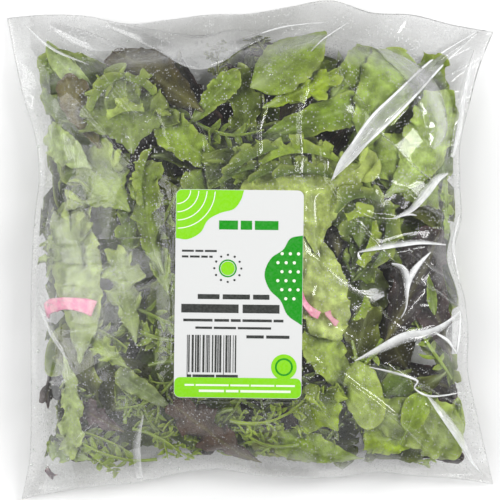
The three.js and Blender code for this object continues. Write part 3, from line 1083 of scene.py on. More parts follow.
def on_label(name, shapes, lift, thick, material):
    """Flat shapes cut into small faces, laid on the label and given a thickness."""
    made = bmesh.new()
    for shape in shapes:
        made.faces.new([made.verts.new((a, b, 0)) for a, b in shape])
    reach = max(LABEL_WIDTH, LABEL_LENGTH) / 2
    for axis in (Vector((1, 0, 0)), Vector((0, 1, 0))):
        for place in np.arange(-reach, reach, LABEL_STEP):
            geometry = made.verts[:] + made.edges[:] + made.faces[:]
            bmesh.ops.bisect_plane(made, geom=geometry, plane_co=axis * place, plane_no=axis, dist=1e-4)
    bmesh.ops.triangulate(made, faces=made.faces[:])
    bmesh.ops.recalc_face_normals(made, faces=made.faces[:])
    for face in made.faces:
        if face.normal.z < 0:
            face.normal_flip()
    flat = np.array([v.co[:] for v in made.verts])
    xy = label_to_bag(flat[:, 0], flat[:, 1])
    u, v = shares_at(xy)
    z = front_height(u, v, xy) + lift
    for vert, place in zip(made.verts, to_frame(xy, z)):
        vert.co = place
    shell = bmesh.ops.extrude_face_region(made, geom=made.faces[:])["geom"]
    for vert in (item for item in shell if isinstance(item, bmesh.types.BMVert)):
        vert.co.z += thick * MM
    bmesh.ops.recalc_face_normals(made, faces=made.faces[:])
    mesh = bpy.data.meshes.new(name)
    made.to_mesh(mesh)
    made.free()
    piece = bpy.data.objects.new(name, mesh)
    bpy.context.scene.collection.objects.link(piece)
    mesh.materials.append(material)
    return piece


EDGE_X, EDGE_Y = LABEL_WIDTH / 2, LABEL_LENGTH / 2
LIME_EDGE = (
    (-31.05, 27), (-25, 26.6), (-19, 30), (-15.5, 36), (-9.5, 39.5), (-3, 41.5), (0.5, 46), (2, 50.8),
)
GREEN_EDGE = (
    (31.05, 29), (25, 27.5), (21.5, 22), (15.5, 17.5), (12.5, 10), (15, 2.5), (20.5, -3), (24, -10),
    (31.05, -15),
)
SEAL, MARK = (-5.5, 12.5), (22.5, -35.5)
SEAL_DOTS = 12
SEAL_TURN = 0.524
BAR_UNIT = 0.33
LONG_BARS = (0, 14, 29)


def field(edge, corners):
    """A field of colour inside a waved edge and the label's own side."""
    curve = curve_point(edge, np.linspace(0, 1, 40))
    return [tuple(point) for point in curve] + corners


def ring_shapes(middle, radius, width, start=0, end=360, count=28):
    """A ring, or a part of one, as a row of four sided faces."""
    outer, inner = arc(middle, radius, start, end, count), arc(middle, radius - width, start, end, count)
    return [[outer[n], outer[n + 1], inner[n + 1], inner[n]] for n in range(count - 1)]


def inside_field(place):
    """Whether a dot's place is well inside the dark green field."""
    edge = np.array(GREEN_EDGE)
    return place[0] > np.interp(-place[1], -edge[:, 1], edge[:, 0]) + 2 and place[0] < EDGE_X - 2


def dots(places, radius):
    return [arc(place, radius, 0, 330, 12) for place in places]


def bar_symbol(left, low, right, high):
    """An uneven row of bars, by a rule of its own, that stands for no number."""
    bars = []
    place = left
    n = 0
    while place < right - 0.6:
        thick = BAR_UNIT * (1 + (n * 7 + n // 3) % 3)
        clear = BAR_UNIT * (1 + (n * 5 + n // 4) % 3)
        foot = low - (1.6 if n in LONG_BARS else 0)
        bars.append(bar(place, foot, min(place + thick, right), high))
        place += thick + clear
        n += 1
    return bars


# Lines of print: left, right, foot and height, the gap between words, and the words' sizes.
GREEN_LINES = ((-10, 19, 31.5, 4.4, 1.4, (4, 2.4, 5)),)
DARK_LINES = (
    (-28, -11, 20.4, 1, 0.8, (3, 2, 3)),
    (-28, -13, 17.6, 1, 0.8, (2, 3, 2, 1)),
    (-20, 15, -2.6, 2.4, 1.6, (4, 5, 3)),
    (-28, 20, -9.3, 4.2, 2, (7, 4.5)),
    (-27, 22, -13.6, 1.3, 0.9, (6, 3, 2, 6, 2)),
    (-21, 16, -17.2, 1.1, 0.9, (3, 4, 6)),
    (4, 25, -21.6, 1.5, 1.2, (3, 4)),
    (-25, 0, -40.9, 1.3, 0.7, (1, 5, 5)),
)
WHITE_LINES = (
    (-26, 28, -45.2, 0.9, 0.8, (2, 7, 4, 5, 4)),
    (-19, 26, -48.2, 1.2, 0.9, (4, 2, 8)),
)


def print_lines(lines):
    return [word for line in lines for word in words(*line)]


def lime_print():
    """The lime field at the head, the band at the foot, and two discs."""
    band = rounded(-EDGE_X + 0.2, -EDGE_Y + 0.2, EDGE_X - 0.2, -EDGE_Y + 10, LABEL_CORNER - 0.2)
    corner = (-EDGE_X + LABEL_CORNER, EDGE_Y - LABEL_CORNER)
    head = arc(corner, LABEL_CORNER - 0.2, 90, 180, CORNER_POINTS)
    return [field(LIME_EDGE, head), band, arc(SEAL, 3.4, 0, 350, 24), arc(MARK, 6.3, 0, 350, 30)]


def green_print():
    rings = ring_shapes(MARK, 4.4, 0.9) + ring_shapes(SEAL, 4.4, 0.7)
    return [field(GREEN_EDGE, [])] + rings + print_lines(GREEN_LINES)


def dark_print():
    turns = [n * SEAL_TURN for n in range(SEAL_DOTS)]
    ring = [(SEAL[0] + 6.6 * math.cos(a), SEAL[1] + 6.6 * math.sin(a)) for a in turns]
    return print_lines(DARK_LINES) + dots(ring, 0.55) + bar_symbol(-25, -38.5, 0, -20.2)


def white_print():
    """Print on the colours: lines in the band, quarter rings and dots in the two fields."""
    shapes = print_lines(WHITE_LINES)
    for radius in (7, 11, 15, 19):
        shapes += ring_shapes((-EDGE_X + 0.4, EDGE_Y - 0.4), radius, 0.5, 272, 358, 14)
    places = [(19 + 4 * i + 2 * (j % 2), -2 + 4.4 * j) for i in range(3) for j in range(6)]
    return shapes + dots([place for place in places if inside_field(place)], 0.8)


def label_pieces(materials):
    paper, green, lime, dark, white = materials
    sheet = rounded(-EDGE_X, -EDGE_Y, EDGE_X, EDGE_Y, LABEL_CORNER)
    lift = PAPER_GAP + PAPER_THICK + PRINT_GAP
    return [
        on_label("label_paper", [sheet], PAPER_GAP, PAPER_THICK, paper),
        on_label("print_lime", lime_print(), lift, PRINT_LIFT, lime),
        on_label("print_green", green_print(), lift + PRINT_LIFT, PRINT_LIFT, green),
        on_label("print_dark", dark_print(), lift + PRINT_LIFT, PRINT_LIFT, dark),
        on_label("print_white", white_print(), lift + 2 * PRINT_LIFT, PRINT_LIFT, white),
    ]


# The finishes of leaves, stems, film, water, paper, print and floor.


class Shader:
    """A material's node tree, with short calls to add nodes and join them."""

    def __init__(self, name):
        self.material = bpy.data.materials.new(name)
        self.material.use_nodes = True
        self.tree = self.material.node_tree
        self.tree.nodes.clear()
        self.output = self.tree.nodes.new("ShaderNodeOutputMaterial")

    def set(self, socket, value):
        if isinstance(value, bpy.types.NodeSocket):
            self.tree.links.new(value, socket)
        elif socket.type == "RGBA" and len(value) == 3:
            socket.default_value = (*value, 1)
        else:
            socket.default_value = value

    def add(self, kind, settings=None, **values):
        node = self.tree.nodes.new("ShaderNode" + kind)
        for name, value in (settings or {}).items():
            setattr(node, name, value)
        for name, value in values.items():
            self.set(node.inputs[name.replace("_", " ")], value)
        return node

    def math(self, operation, *values, clamp=False):
        node = self.add("Math", {"operation": operation, "use_clamp": clamp})
        for socket, value in zip(node.inputs, values):
            self.set(socket, value)
        return node.outputs[0]

    def mix_colour(self, share, first, second, blend="MIX"):
        node = self.add("Mix", {"data_type": "RGBA", "blend_type": blend})
        self.set(node.inputs["Factor"], share)
        self.set(node.inputs["A"], first)
        self.set(node.inputs["B"], second)
        return node.outputs["Result"]

    def mix_shader(self, share, first, second):
        node = self.add("MixShader")
        self.set(node.inputs[0], share)
        self.set(node.inputs[1], first)
        self.set(node.inputs[2], second)
        return node.outputs[0]

    def noise(self, scale, detail=3, roughness=0.5):
        where = self.add("TexCoord").outputs["Object"]
        node = self.add("TexNoise", Vector=where, Scale=scale, Detail=detail, Roughness=roughness)
        return node.outputs["Fac"]

    def ramp(self, value, low, high, start=0, end=1):
        node = self.add("MapRange", {"clamp": True, "interpolation_type": "SMOOTHSTEP"}, Value=value)
        ends = {"From Min": low, "From Max": high, "To Min": start, "To Max": end}
        for name, number in ends.items():
            self.set(node.inputs[name], number)
        return node.outputs["Result"]

    def times(self, first, second):
        return self.math("MULTIPLY", first, second)

    def values(self, name, output="Fac"):
        """What each point of the mesh holds under a name."""
        return self.add("Attribute", {"attribute_name": name}).outputs[output]

    def cells(self, where, scale):
        """Uneven cells with a middle and a colour each."""
        return self.add("TexVoronoi", {"feature": "F1"}, Vector=where, Scale=scale, Randomness=1.0)

    def bump(self, height, strength, distance):
        return self.add("Bump", Height=height, Strength=strength, Distance=distance).outputs[0]

    def glossy(self, roughness, normal):
        """A clear gloss with no colour of its own."""
        shine = self.add("BsdfGlossy", {"distribution": "GGX"}, Normal=normal)
        shine.inputs["Color"].default_value = (1, 1, 1, 1)
        shine.inputs["Roughness"].default_value = roughness
        return shine.outputs[0]

    def principled(self, colour, roughness, specular=0.5, **more):
        skin = self.add("BsdfPrincipled", Base_Color=colour, **more)
        skin.inputs["Roughness"].default_value = roughness
        skin.inputs["Specular IOR Level"].default_value = specular
        return skin.outputs[0]

    def finish(self, surface):
        self.tree.links.new(surface, self.output.inputs["Surface"])
        return self.material


LEAF_GLOSS = 0.42
LEAF_SPECULAR = 0.34
LEAF_GLOW = 0.2
SIDE_VEINS = 9.0
NET_SCALE = 300.0


def leaf_veins(made, across, along):
    """How far each place is a vein: the midrib and the slanted side veins."""
    slant = made.math("MULTIPLY_ADD", made.noise(90, 2), 0.05, made.times(across, -0.32))
    row = made.times(made.math("ADD", along, slant), SIDE_VEINS)
    side = made.ramp(made.math("PINGPONG", row, 0.5), 0.0, 0.1, 1, 0)
    fade = made.times(made.ramp(across, 0.2, 1.0, 0.75, 0.15), side)
    return made.math("MAXIMUM", fade, made.ramp(across, 0.02, 0.16, 1, 0))


def mottled(made, tint_and_shade):
    """The leaf's colour, with its painted shade, given small mottles and wide patches."""
    mottle = made.ramp(made.noise(170, 6, 0.72), 0.3, 0.7, 0.66, 1.3)
    patches = made.ramp(made.noise(42, 4, 0.6), 0.3, 0.7, 0.74, 1.16)
    shade = made.times(mottle, patches)
    grey = made.add("CombineColor", Red=shade, Green=shade, Blue=shade).outputs["Color"]
    return made.mix_colour(1.0, tint_and_shade, grey, "MULTIPLY")


def leaf_bump(made, veins, net):
    """Blisters and fine grain, with the veins sunk between them."""
    sunk = made.math("MAXIMUM", veins, made.times(net, 0.5))
    lumps = made.math("ADD", made.times(made.noise(420, 3), 0.3), made.times(sunk, -0.3))
    lumps = made.math("MULTIPLY_ADD", made.noise(150, 3, 0.6), 2.2, lumps)
    return made.bump(lumps, 0.6, 0.001)


def leaf_material(name, vein_colour, vein_share, edge_colour):
    """A leaf's finish: its colour with painted shade, mottled, with a pale midrib, finer side veins and an
    edge lightened partly as its own paler margin and partly as painted light on crests.
    """
    made = Shader(name)
    own = made.add("Attribute", {"attribute_name": "tint_and_shade"})
    tint_and_shade, rim = own.outputs["Color"], own.outputs["Alpha"]
    uv = made.add("SeparateXYZ", Vector=made.add("UVMap", {"uv_map": "leaf"}).outputs["UV"])
    across = made.math("ABSOLUTE", made.math("MULTIPLY_ADD", uv.outputs["X"], 2.0, -1.0))
    along = uv.outputs["Y"]
    veins = leaf_veins(made, across, along)
    body = mottled(made, tint_and_shade)
    # The rim is lightened towards the edge colour: partly the leaf's own paler margin, partly painted light
    # on its crests and curled edges.
    body = made.mix_colour(rim, body, made.mix_colour(0.55, body, edge_colour))
    pale = made.mix_colour(0.55, tint_and_shade, vein_colour)
    colour = made.mix_colour(made.times(veins, vein_share), body, pale)
    stalk = made.times(made.ramp(along, 0.0, 0.4, 0.75, 0.0), made.ramp(across, 0.0, 0.7, 1.0, 0.0))
    colour = made.mix_colour(stalk, colour, vein_colour)
    mesh = made.add("TexVoronoi", {"feature": "DISTANCE_TO_EDGE"}, Scale=NET_SCALE, Randomness=0.9)
    net = made.ramp(mesh.outputs["Distance"], 0.0, 0.1, 1, 0)
    colour = made.mix_colour(made.times(net, 0.22), colour, pale)
    bump = leaf_bump(made, veins, net)
    leaf = made.principled(colour, LEAF_GLOSS, LEAF_SPECULAR, Normal=bump)
    through = made.add("BsdfTranslucent", Color=colour).outputs[0]
    return made.finish(made.mix_shader(LEAF_GLOW, leaf, through))


def stem_material():
    """A smooth stem with pale streaks."""
    made = Shader("stem_skin")
    tint_and_shade = made.values("tint_and_shade", "Color")
    streaks = made.ramp(made.noise(240, 3), 0.35, 0.65)
    pale = made.mix_colour(0.5, tint_and_shade, linear(240, 205, 200))
    colour = made.mix_colour(streaks, tint_and_shade, pale)
    return made.finish(made.principled(colour, 0.3, Normal=made.bump(made.noise(500, 2), 0.2, 0.0005)))


CLEAR_TINT = (0.965, 0.965, 0.965)
# The grey that the film lets through where it carries painted shade in the fin, and at the foot.
GREYED_TINT = (0.86, 0.86, 0.855)
FOG_TINT = (0.86, 0.87, 0.87)
SHADED_FIN = (0.094, 0.104)
GREYED_FOOT = (-0.104, -0.112)
# Painted reflections of the left lamp: how white the facets on the left get, and their pattern.
FACET_REFLECTION = 0.13
FACET_STRETCH = (1.0, 0.42, 0.0)
FACET_TURN = 0.35
FACET_SCALE = 42.0
FACET_ENDS = (-0.095, -0.04)
# Painted glints of fine drops: their cells, their share and their whiteness.
SPECK_SCALE = 1050.0
SPECK_SHARE = 0.72
SPECK_GLINT = 0.42
FILM_SHINE = 0.043
FILM_EDGE_SHINE = 0.8
FILM_ROUGHNESS = 0.12


def painted_facet_reflections(made, where):
    """Painted reflections of the left lamp in pale flat facets on the left, long and slanted."""
    bent = made.add("VectorMath", {"operation": "MULTIPLY"})
    made.set(bent.inputs[0], where)
    made.set(bent.inputs[1], FACET_STRETCH)
    turned = made.add("VectorRotate", {"rotation_type": "Z_AXIS"}, Vector=bent.outputs[0], Angle=FACET_TURN)
    facets = made.cells(turned.outputs[0], FACET_SCALE)
    cell = made.add("SeparateColor", Color=facets.outputs["Color"]).outputs["Red"]
    left = made.ramp(made.add("SeparateXYZ", Vector=where).outputs["X"], *FACET_ENDS, FACET_REFLECTION, 0.0)
    return made.times(made.ramp(cell, 0.45, 0.8), left)


def painted_drop_glints(made, where):
    """Painted glints of fine drops on the film, in patches."""
    specks = made.cells(where, SPECK_SCALE)
    size = made.math("MULTIPLY_ADD", made.noise(70, 3), 0.8, -0.12)
    near = made.math("LESS_THAN", specks.outputs["Distance"], size)
    cell = made.add("SeparateColor", Color=specks.outputs["Color"]).outputs["Red"]
    seen = made.math("GREATER_THAN", cell, SPECK_SHARE)
    return made.times(made.times(near, seen), SPECK_GLINT)


def film_haze(made, where):
    """How white the film is: mist with a painted reflection on the left, painted reflections on facets,
    painted glints of fine drops and the creases' painted highlights.
    """
    cloud = made.ramp(made.noise(38, 6, 0.7), 0.35, 0.7, 0.5, 1.7)
    grain = made.ramp(made.noise(1000, 2), 0.38, 0.64, 0.35, 1.75)
    mist_and_glare = made.times(made.times(made.values("mist_and_glare"), cloud), grain)
    haze = made.math("ADD", mist_and_glare, painted_facet_reflections(made, where))
    # The creases' painted highlights, streaked.
    streaks = made.times(made.values("white"), made.ramp(made.noise(150, 4, 0.6), 0.3, 0.7, 0.7, 1.15))
    haze = made.math("MAXIMUM", haze, painted_drop_glints(made, where))
    return made.math("MAXIMUM", haze, streaks, clamp=True)


def film_greyed(made, where):
    """How much greyer the clear film lets light through: painted shade in patches of the fin, and more grey
    at the foot, where nothing lies under it.
    """
    height = made.add("SeparateXYZ", Vector=where).outputs["Y"]
    fin, foot = made.ramp(height, *SHADED_FIN), made.ramp(height, *GREYED_FOOT, 0, 0.8)
    return made.times(made.math("ADD", fin, foot), made.ramp(made.noise(13, 4), 0.4, 0.56, 0.15, 1.0))


def film_material():
    """Clear film: gloss by angle over what shows through, greyed in the fin as painted shade and at the
    foot, with mist, painted reflections and painted glints of fine drops.
    """
    made = Shader("clear_film")
    where = made.add("TexCoord").outputs["Object"]
    facing = made.add("LayerWeight", Blend=0.5).outputs["Facing"]
    share = made.math("MULTIPLY_ADD", made.math("POWER", facing, 3.0), FILM_EDGE_SHINE, FILM_SHINE)
    # The film lets through a greyer light in the fin, as painted shade, and at the foot.
    tint_and_shade = made.mix_colour(film_greyed(made, where), CLEAR_TINT, GREYED_TINT)
    clear = made.add("BsdfTransparent", Color=tint_and_shade).outputs[0]
    shine = made.glossy(FILM_ROUGHNESS, made.bump(made.noise(75, 3), 0.35, 0.0005))
    fog = made.add("BsdfDiffuse", Color=FOG_TINT).outputs[0]
    return made.finish(made.mix_shader(film_haze(made, where), made.mix_shader(share, clear, shine), fog))


def paper_material():
    made = Shader("coated_paper")
    fibre = made.ramp(made.noise(700, 4), 0.3, 0.7, 0.97, 1.0)
    colour = made.mix_colour(fibre, linear(196, 198, 196), linear(208, 209, 208))
    return made.finish(made.principled(colour, 0.5, Normal=made.bump(made.noise(900, 3), 0.12, 0.0002)))


def print_material(name, colour):
    made = Shader(name)
    worn = made.ramp(made.noise(800, 3), 0.3, 0.7, 0.0, 0.03)
    ink = made.mix_colour(worn, colour, linear(236, 238, 234))
    return made.finish(made.principled(ink, 0.6, 0.2))


def floor_material():
    made = Shader("pale_floor")
    tone = made.ramp(made.noise(3, 2), 0.3, 0.7)
    colour = made.mix_colour(tone, linear(236, 236, 236), linear(241, 241, 241))
    return made.finish(made.principled(colour, 0.8))


BACK_MIST = 0.05


def build_film(front, back, mist_and_glare, material):
    """Both sheets of the film, joined round the seam, with how misted each point is, the left's painted
    reflection included.
    """
    rows, columns = mist_and_glare.shape
    seam = np.zeros(mist_and_glare.shape, bool)
    seam[[0, -1]] = seam[:, [0, -1]] = True
    number = np.full(mist_and_glare.shape, -1)
    number[~seam] = rows * columns + np.arange((~seam).sum())
    number[seam] = np.arange(rows * columns).reshape(mist_and_glare.shape)[seam]
    points = np.vstack([front.reshape(-1, 3), back[~seam]])
    top = grid_faces(rows, columns)
    faces = np.vstack([top, number.ravel()[top][:, ::-1]])
    film = mesh_object("film", to_frame(points[:, :2], points[:, 2]), faces, material)
    set_values(film, "mist_and_glare", np.concatenate([mist_and_glare.ravel(), np.full((~seam).sum(), BACK_MIST)]))
    return film


# Standing creases of the film. Each has points of x, y and width in millimetres, and whiteness, a painted
# highlight of the lamps on the crease.

CREASE_STEP = 1.2
CREASE_COLUMNS = 9
CREASE_LIFT = 0.28
CREASE_GAP = 0.12
CREASE_THICK = 0.06
CREASE_LEAST = 0.3
CREASE_EASED = 3
CREASES = (
    ("edges", (
        (114, 109, 0.8, 0.2), (93.7, 93.7, 5, 0.2), (76.4, 76.4, 7, 0.3), (62, 61.8, 6.5, 0.6),
        (50, 46.5, 4.5, 0.95), (40.4, 35, 0.8, 1.0),
    )),
    ("line", (
        (113, 109, 0.4, 0.9), (91, 95, 1.2, 1.0), (72.4, 77.7, 1.4, 1.0), (59, 64.5, 1.8, 1.0),
        (48, 48, 2, 1.0), (40.4, 35, 0.5, 1.0),
    )),
    ("line", (
        (113, 108, 0.4, 0.9), (96.4, 92.4, 1.1, 1.0), (80.4, 75, 1.5, 1.0), (64.4, 59, 1.7, 1.0),
        (48.4, 44.5, 1.6, 1.0), (40.4, 35, 0.4, 1.0),
    )),
    ("fade", ((40, 34, 0.5, 0.8), (46, 43, 5, 0.85), (54, 53, 6, 0.6), (60, 60, 5, 0.3))),
    ("fade", (
        (97, 2.7, 0.5, 1.0), (84, 4, 2.4, 1.0), (73, 3, 3.2, 1.0), (62, 1.2, 2.6, 1.0),
        (53, -1, 0.6, 1.0),
    )),
    ("line", ((53, -1, 0.4, 0.9), (53.5, -3.5, 1.6, 0.8), (55, -5, 0.4, 0.5))),
    ("fade", (
        (69.5, -6.7, 1, 0.9), (75, -9, 3, 0.9), (77, -15, 4, 0.8), (77, -20, 2.4, 0.9),
        (76.5, -28, 1, 0.7), (74, -33.4, 0.5, 0.6),
    )),
    ("line", ((89, -1, 0.6, 0.9), (84, -6, 2.5, 1.0), (79.5, -12, 3.5, 0.9), (77.5, -19, 1.5, 0.9))),
    ("fade", (
        (51.4, -54.4, 0.6, 1.0), (64, -48.5, 4, 0.95), (76, -43, 5.5, 1.0), (87.5, -41, 4.4, 1.0),
        (96, -37, 2.8, 1.0), (104, -30.5, 0.8, 1.0),
    )),
    ("line", ((104, -30.5, 0.6, 0.9), (103.8, -41, 1.4, 0.95), (102.5, -51.5, 0.7, 0.9))),
    ("line", ((91, -40.5, 1, 0.9), (98, -45, 1.8, 1.0), (102.5, -51.5, 0.6, 0.9))),
    ("edges", ((104, -34, 1, 0.4), (100, -41, 7, 0.45), (102, -49, 1, 0.4))),
    ("line", (
        (58.5, -57.3, 0.4, 0.5), (70, -60, 1.4, 0.75), (81.7, -63.8, 1.3, 0.8), (81, -68, 0.9, 0.9),
        (87.5, -71.7, 1.3, 0.9), (96, -71.7, 0.9, 0.8), (106, -70.3, 0.4, 0.6),
    )),
    ("fade", (
        (116, -112, 0.5, 0.8), (110.5, -105, 2.2, 0.8), (105, -95, 4, 0.75), (96, -82, 4, 0.7),
        (87.5, -71.7, 1, 0.7),
    )),
    ("fade", (
        (98, 38, 0.8, 0.9), (92, 35, 4, 0.95), (86, 28, 5, 0.9), (79, 20, 3, 0.9),
        (70, 15.6, 0.5, 0.8),
    )),
    ("line", ((70, 15.6, 0.5, 0.8), (78, 17.5, 1.2, 0.8), (82, 17, 0.5, 0.6))),
    ("fade", (
        (112, 100, 0.6, 0.6), (108.5, 88, 3, 0.55), (105.5, 76, 4, 0.55), (103, 59, 4.5, 0.6),
        (100, 46, 2, 0.6),
    )),
    ("line", ((-5, 104, 0.4, 0.5), (16, 111, 1, 0.7), (39, 113.5, 0.4, 0.5))),
    ("line", ((49, 113.5, 0.5, 0.5), (37.5, 105.5, 0.9, 0.6), (30, 98, 0.4, 0.4))),
    ("line", ((104, -16, 0.5, 0.4), (101, 2, 1.6, 0.5), (104, 18, 0.5, 0.4))),
    ("fade", ((-52.5, -81, 0.6, 0.3), (-56, -96, 4, 0.35), (-54.5, -114, 3, 0.3))),
    ("fade", ((-90, -54, 0.6, 0.3), (-98, -40, 3.5, 0.35), (-105, -26, 1, 0.3))),
    ("line", ((-112, 112, 0.4, 0.5), (-98, 100, 1.6, 0.4), (-80, 92, 0.4, 0.25))),
    ("fade", (
        (6, 107, 4, 0.08), (-8, 104, 12, 0.16), (-25, 98, 18, 0.2), (-44, 104, 11, 0.17),
        (-72, 113, 3, 0.1),
    )),
    ("fade", ((-62, 100, 2, 0.1), (-80, 104, 9, 0.17), (-100, 112, 5, 0.12))),
    ("fade", ((60, 103, 2, 0.08), (84, 84, 12, 0.12), (92, 62, 12, 0.1), (90, 50, 3, 0.08))),
)


def crease_highlight(shape, t):
    """The painted highlight across a crease's width: bright edges, a bright middle or a fade from one edge.
    """
    if shape == "edges":
        return 0.3 + 0.7 * np.abs(t) ** 5
    if shape == "fade":
        return ((1 + t) / 2) ** 1.1
    return 1 - np.abs(t) ** 3


def crease_solid(shape, rows, tops):
    """One crease laid over the film's heights, as a thin solid, with its painted highlight."""
    rows = np.array(rows, float)
    count = max(8, int(np.hypot(*np.diff(rows[:, :2], axis=0).T).sum() / CREASE_STEP))
    line = curve_point(rows, np.linspace(0, 1, count))
    t = np.linspace(-1, 1, CREASE_COLUMNS)
    wide = np.maximum(line[:, 2:3], CREASE_LEAST)
    xy = off_line(line[:, :2], wide / 2 * t, 0 * wide * t)
    over = CREASE_LIFT * wide * (1 - np.abs(t)) ** 0.8
    z = smoothed(map_at(tops, xy), CREASE_EASED) + CREASE_GAP + over
    solid, faces = leaf_solid(np.concatenate([xy, z[..., None]], -1), CREASE_THICK)
    white = np.clip(line[:, 3:4] * crease_highlight(shape, t), 0, 1)
    return solid, faces, np.concatenate([white.ravel(), white.ravel()])


def build_creases(front, material):
    tops = highest_map(front)
    solids, faces, painted_highlights = zip(*[crease_solid(shape, rows, tops) for shape, rows in CREASES])
    creases = mesh_object("film_creases", *joined(solids, faces), material)
    # The attribute "white" holds the creases' painted highlights.
    set_values(creases, "white", np.concatenate(painted_highlights))
    return creases


MIST_LEAST = 0.004
# More mist on the left, as a painted reflection of the left lamp.
MIST_LEFT_GLARE = 0.025
MIST_GAP = 0.019
MIST_FADE = (10, 90)
MIST_CLEAR = (2, 9)


def mist_and_glare_on(front, leaf_tops):
    """How misted the film is: a little everywhere, more on the left as a painted reflection of the left
    lamp, and where it stands clear of the leaves.
    """
    xy = front[..., :2]
    gap = front[..., 2] - map_at(leaf_tops, xy)
    left = smoothstep(-xy[..., 0], *MIST_FADE)
    return MIST_LEAST + MIST_LEFT_GLARE * left + MIST_GAP * smoothstep(gap, *MIST_CLEAR)


DROPS = 380
DROP_SIZES = (0.22, 0.95)
DROP_LEVELS = 5
DROP_SIDES = 8
DROP_FLAT = 0.4
DROP_GAP = 0.05
DROP_SEED = 3
DROP_FADE = (-10, 70)
DROP_ACROSS = (-112, 100)
DROP_UP = (-112, 108)


def drop_solid(middle, radius):
    """A flattened drop that hangs under the film."""
    level = np.linspace(0, math.pi, DROP_LEVELS + 2)[1:-1]
    turn = np.linspace(0, 2 * math.pi, DROP_SIDES, endpoint=False)
    wide = 1 + 0.15 * np.sin(2 * turn + radius * 9)
    ring = np.stack([
        np.outer(np.sin(level), np.cos(turn) * wide),
        np.outer(np.sin(level), np.sin(turn) / wide),
        np.outer(np.cos(level), np.full(DROP_SIDES, DROP_FLAT)),
    ], -1).reshape(-1, 3)
    poles = np.array([[0, 0, DROP_FLAT], [0, 0, -DROP_FLAT]])
    points = middle + radius * (np.vstack([ring, poles]) - [0, 0, DROP_FLAT])
    top, low = len(ring), len(ring) + 1
    faces = []
    for side in range(DROP_SIDES):
        after = (side + 1) % DROP_SIDES
        faces.append((top, side, after))
        for n in range(DROP_LEVELS - 1):
            a, b = n * DROP_SIDES + side, n * DROP_SIDES + after
            faces.append((a, a + DROP_SIDES, b + DROP_SIDES))
            faces.append((a, b + DROP_SIDES, b))
        last = (DROP_LEVELS - 1) * DROP_SIDES
        faces.append((low, last + after, last + side))
    return points, np.array(faces)


def build_drops(front, material):
    """Drops of water under the film, most of them on its left."""
    places = np.random.default_rng(DROP_SEED)
    under = new_map()
    lower_map(under, front[..., :2], front[..., 2])
    solids, faces = [], []
    while len(solids) < DROPS:
        x, y = places.uniform(*DROP_ACROSS), places.uniform(*DROP_UP)
        radius = DROP_SIZES[0] + (DROP_SIZES[1] - DROP_SIZES[0]) * places.uniform() ** 3
        wanted = 0.25 + 0.75 * float(smoothstep(-x, *DROP_FADE))
        keep = places.uniform() < wanted * float(away_from_label(x, y, LABEL_CALM / 2) > 0.5)
        height = float(map_at(under, np.array([[x, y]]))[0])
        if not keep or height > CROWN * 2:
            continue
        points, own = drop_solid(np.array([x, y, height - DROP_GAP]), radius)
        faces.append(own)
        solids.append(points)
    return mesh_object("water_drops", *joined(solids, faces), material)


def water_material():
    """Clear water: see-through in the middle, with a bright edge and sharp gloss."""
    made = Shader("water")
    facing = made.add("LayerWeight", Blend=0.5).outputs["Facing"]
    share = made.math("MULTIPLY_ADD", made.math("POWER", facing, 2.0), 0.6, 0.14)
    clear = made.add("BsdfTransparent", Color=(0.9, 0.92, 0.9)).outputs[0]
    shine = made.glossy(0.03, made.bump(made.noise(900, 2), 0.1, 0.0002))
    return made.finish(made.mix_shader(share, clear, shine))


def area_light(name, place, size, power):
    light = bpy.data.lights.new(name, "AREA")
    light.shape = "ELLIPSE"
    light.size, light.size_y = size
    light.energy = power
    lamp = bpy.data.objects.new(name, light)
    bpy.context.scene.collection.objects.link(lamp)
    lamp.location = place
    lamp.rotation_euler = (Vector(LAMP_AIM) - Vector(place)).to_track_quat("-Z", "Y").to_euler()


# Lamps: name, place and size in metres, and power in watts.
LAMPS = (
    ("left_box", (-1.15, 0.2, 0.95), (1.2, 1.8), 18),
    ("right_strip", (1.05, 0.35, 1.0), (0.5, 1.1), 17),
    ("front_fill", (0.1, -1.3, 1.1), (2.0, 1.3), 6),
)
LAMP_AIM = (0, 0, 0.03)
FLOOR_HALF = 3
WORLD_COLOUR = (0.99, 0.995, 1, 1)
WORLD_STRENGTH = 0.36
CAMERA_LENS = 360
CAMERA_HEIGHT = 2.5


def lights():
    """A pale sky, a wide lamp at the left, a narrow one at the right and a weak one at the foot."""
    world = bpy.data.worlds.new("studio")
    world.use_nodes = True
    sky = world.node_tree.nodes["Background"]
    sky.inputs["Color"].default_value = WORLD_COLOUR
    sky.inputs["Strength"].default_value = WORLD_STRENGTH
    bpy.context.scene.world = world
    for lamp in LAMPS:
        area_light(*lamp)


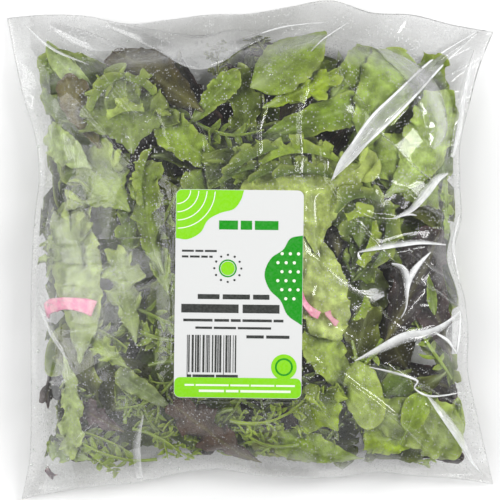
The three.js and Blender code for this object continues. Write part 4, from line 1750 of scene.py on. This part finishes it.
def studio():
    """The lights, the floor, and a camera that looks straight down."""
    lights()
    signs = ((-1, -1, 0), (1, -1, 0), (1, 1, 0), (-1, 1, 0))
    corners = np.array(signs, float) * FLOOR_HALF
    floor = mesh_object("floor", corners, np.array([[0, 1, 2, 3]]), floor_material())
    scene = bpy.context.scene
    camera = bpy.data.objects.new("camera", bpy.data.cameras.new("camera"))
    scene.collection.objects.link(camera)
    camera.data.lens = CAMERA_LENS
    camera.location = (0, 0, CAMERA_HEIGHT)
    scene.camera = camera
    scene.view_settings.view_transform = "Standard"


VEIN_GREEN, VEIN_RED = linear(196, 212, 150), linear(130, 130, 70)
# Edge colours: partly a leaf's paler margin, partly painted light on its crests.
EDGE_GREEN, EDGE_RED = linear(212, 230, 110), linear(96, 60, 52)
SLOTS = {"leaves_red": "leaf_red", "stems": "stem", "leaves_curly": "leaf_pale"}


def leaf_pieces(pile):
    green = leaf_material("green_leaf", VEIN_GREEN, 0.22, EDGE_GREEN)
    red = leaf_material("red_leaf", VEIN_RED, 0.45, EDGE_RED)
    finishes = {"leaves_red": red, "stems": stem_material()}
    for piece in sorted(pile.parts):
        made = pile.build(piece, finishes.get(piece, green))
        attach(made, "root")
        SLOTS.get(piece, "leaf_green")


def film_pieces(u, v, front, leaf_tops):
    clear = film_material()
    film = build_film(front, back_film(u, v), mist_and_glare_on(front, leaf_tops), clear)
    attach(film, "root")
    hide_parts("bag")
    creases = build_creases(front, clear)
    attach(creases, "root")
    drops = build_drops(front, water_material())
    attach(drops, "root")


def printed_pieces():
    inks = (
        paper_material(),
        print_material("green_ink", linear(10, 138, 6)),
        print_material("lime_ink", linear(126, 202, 6)),
        print_material("dark_ink", linear(46, 48, 46)),
        print_material("white_ink", linear(222, 230, 212)),
    )
    for piece in label_pieces(inks):
        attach(piece, "root")
        if piece.name == "label_paper":
            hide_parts("label")


def main():
    u, v, front = front_film()
    ceiling = new_map()
    lower_map(ceiling, front[..., :2], front[..., 2], HOLE_ROUNDS)
    ceiling[ceiling >= NOTHING] = 0
    ceiling -= FILM_GAP
    pile = Pile(ceiling)
    hero_leaves(pile)
    fill_fronds(pile)
    leaf_tops = pile.ceiling.copy()
    fill_leaves(pile)
    leaf_pieces(pile)
    film_pieces(u, v, front, leaf_tops)
    printed_pieces()
    studio()


main()
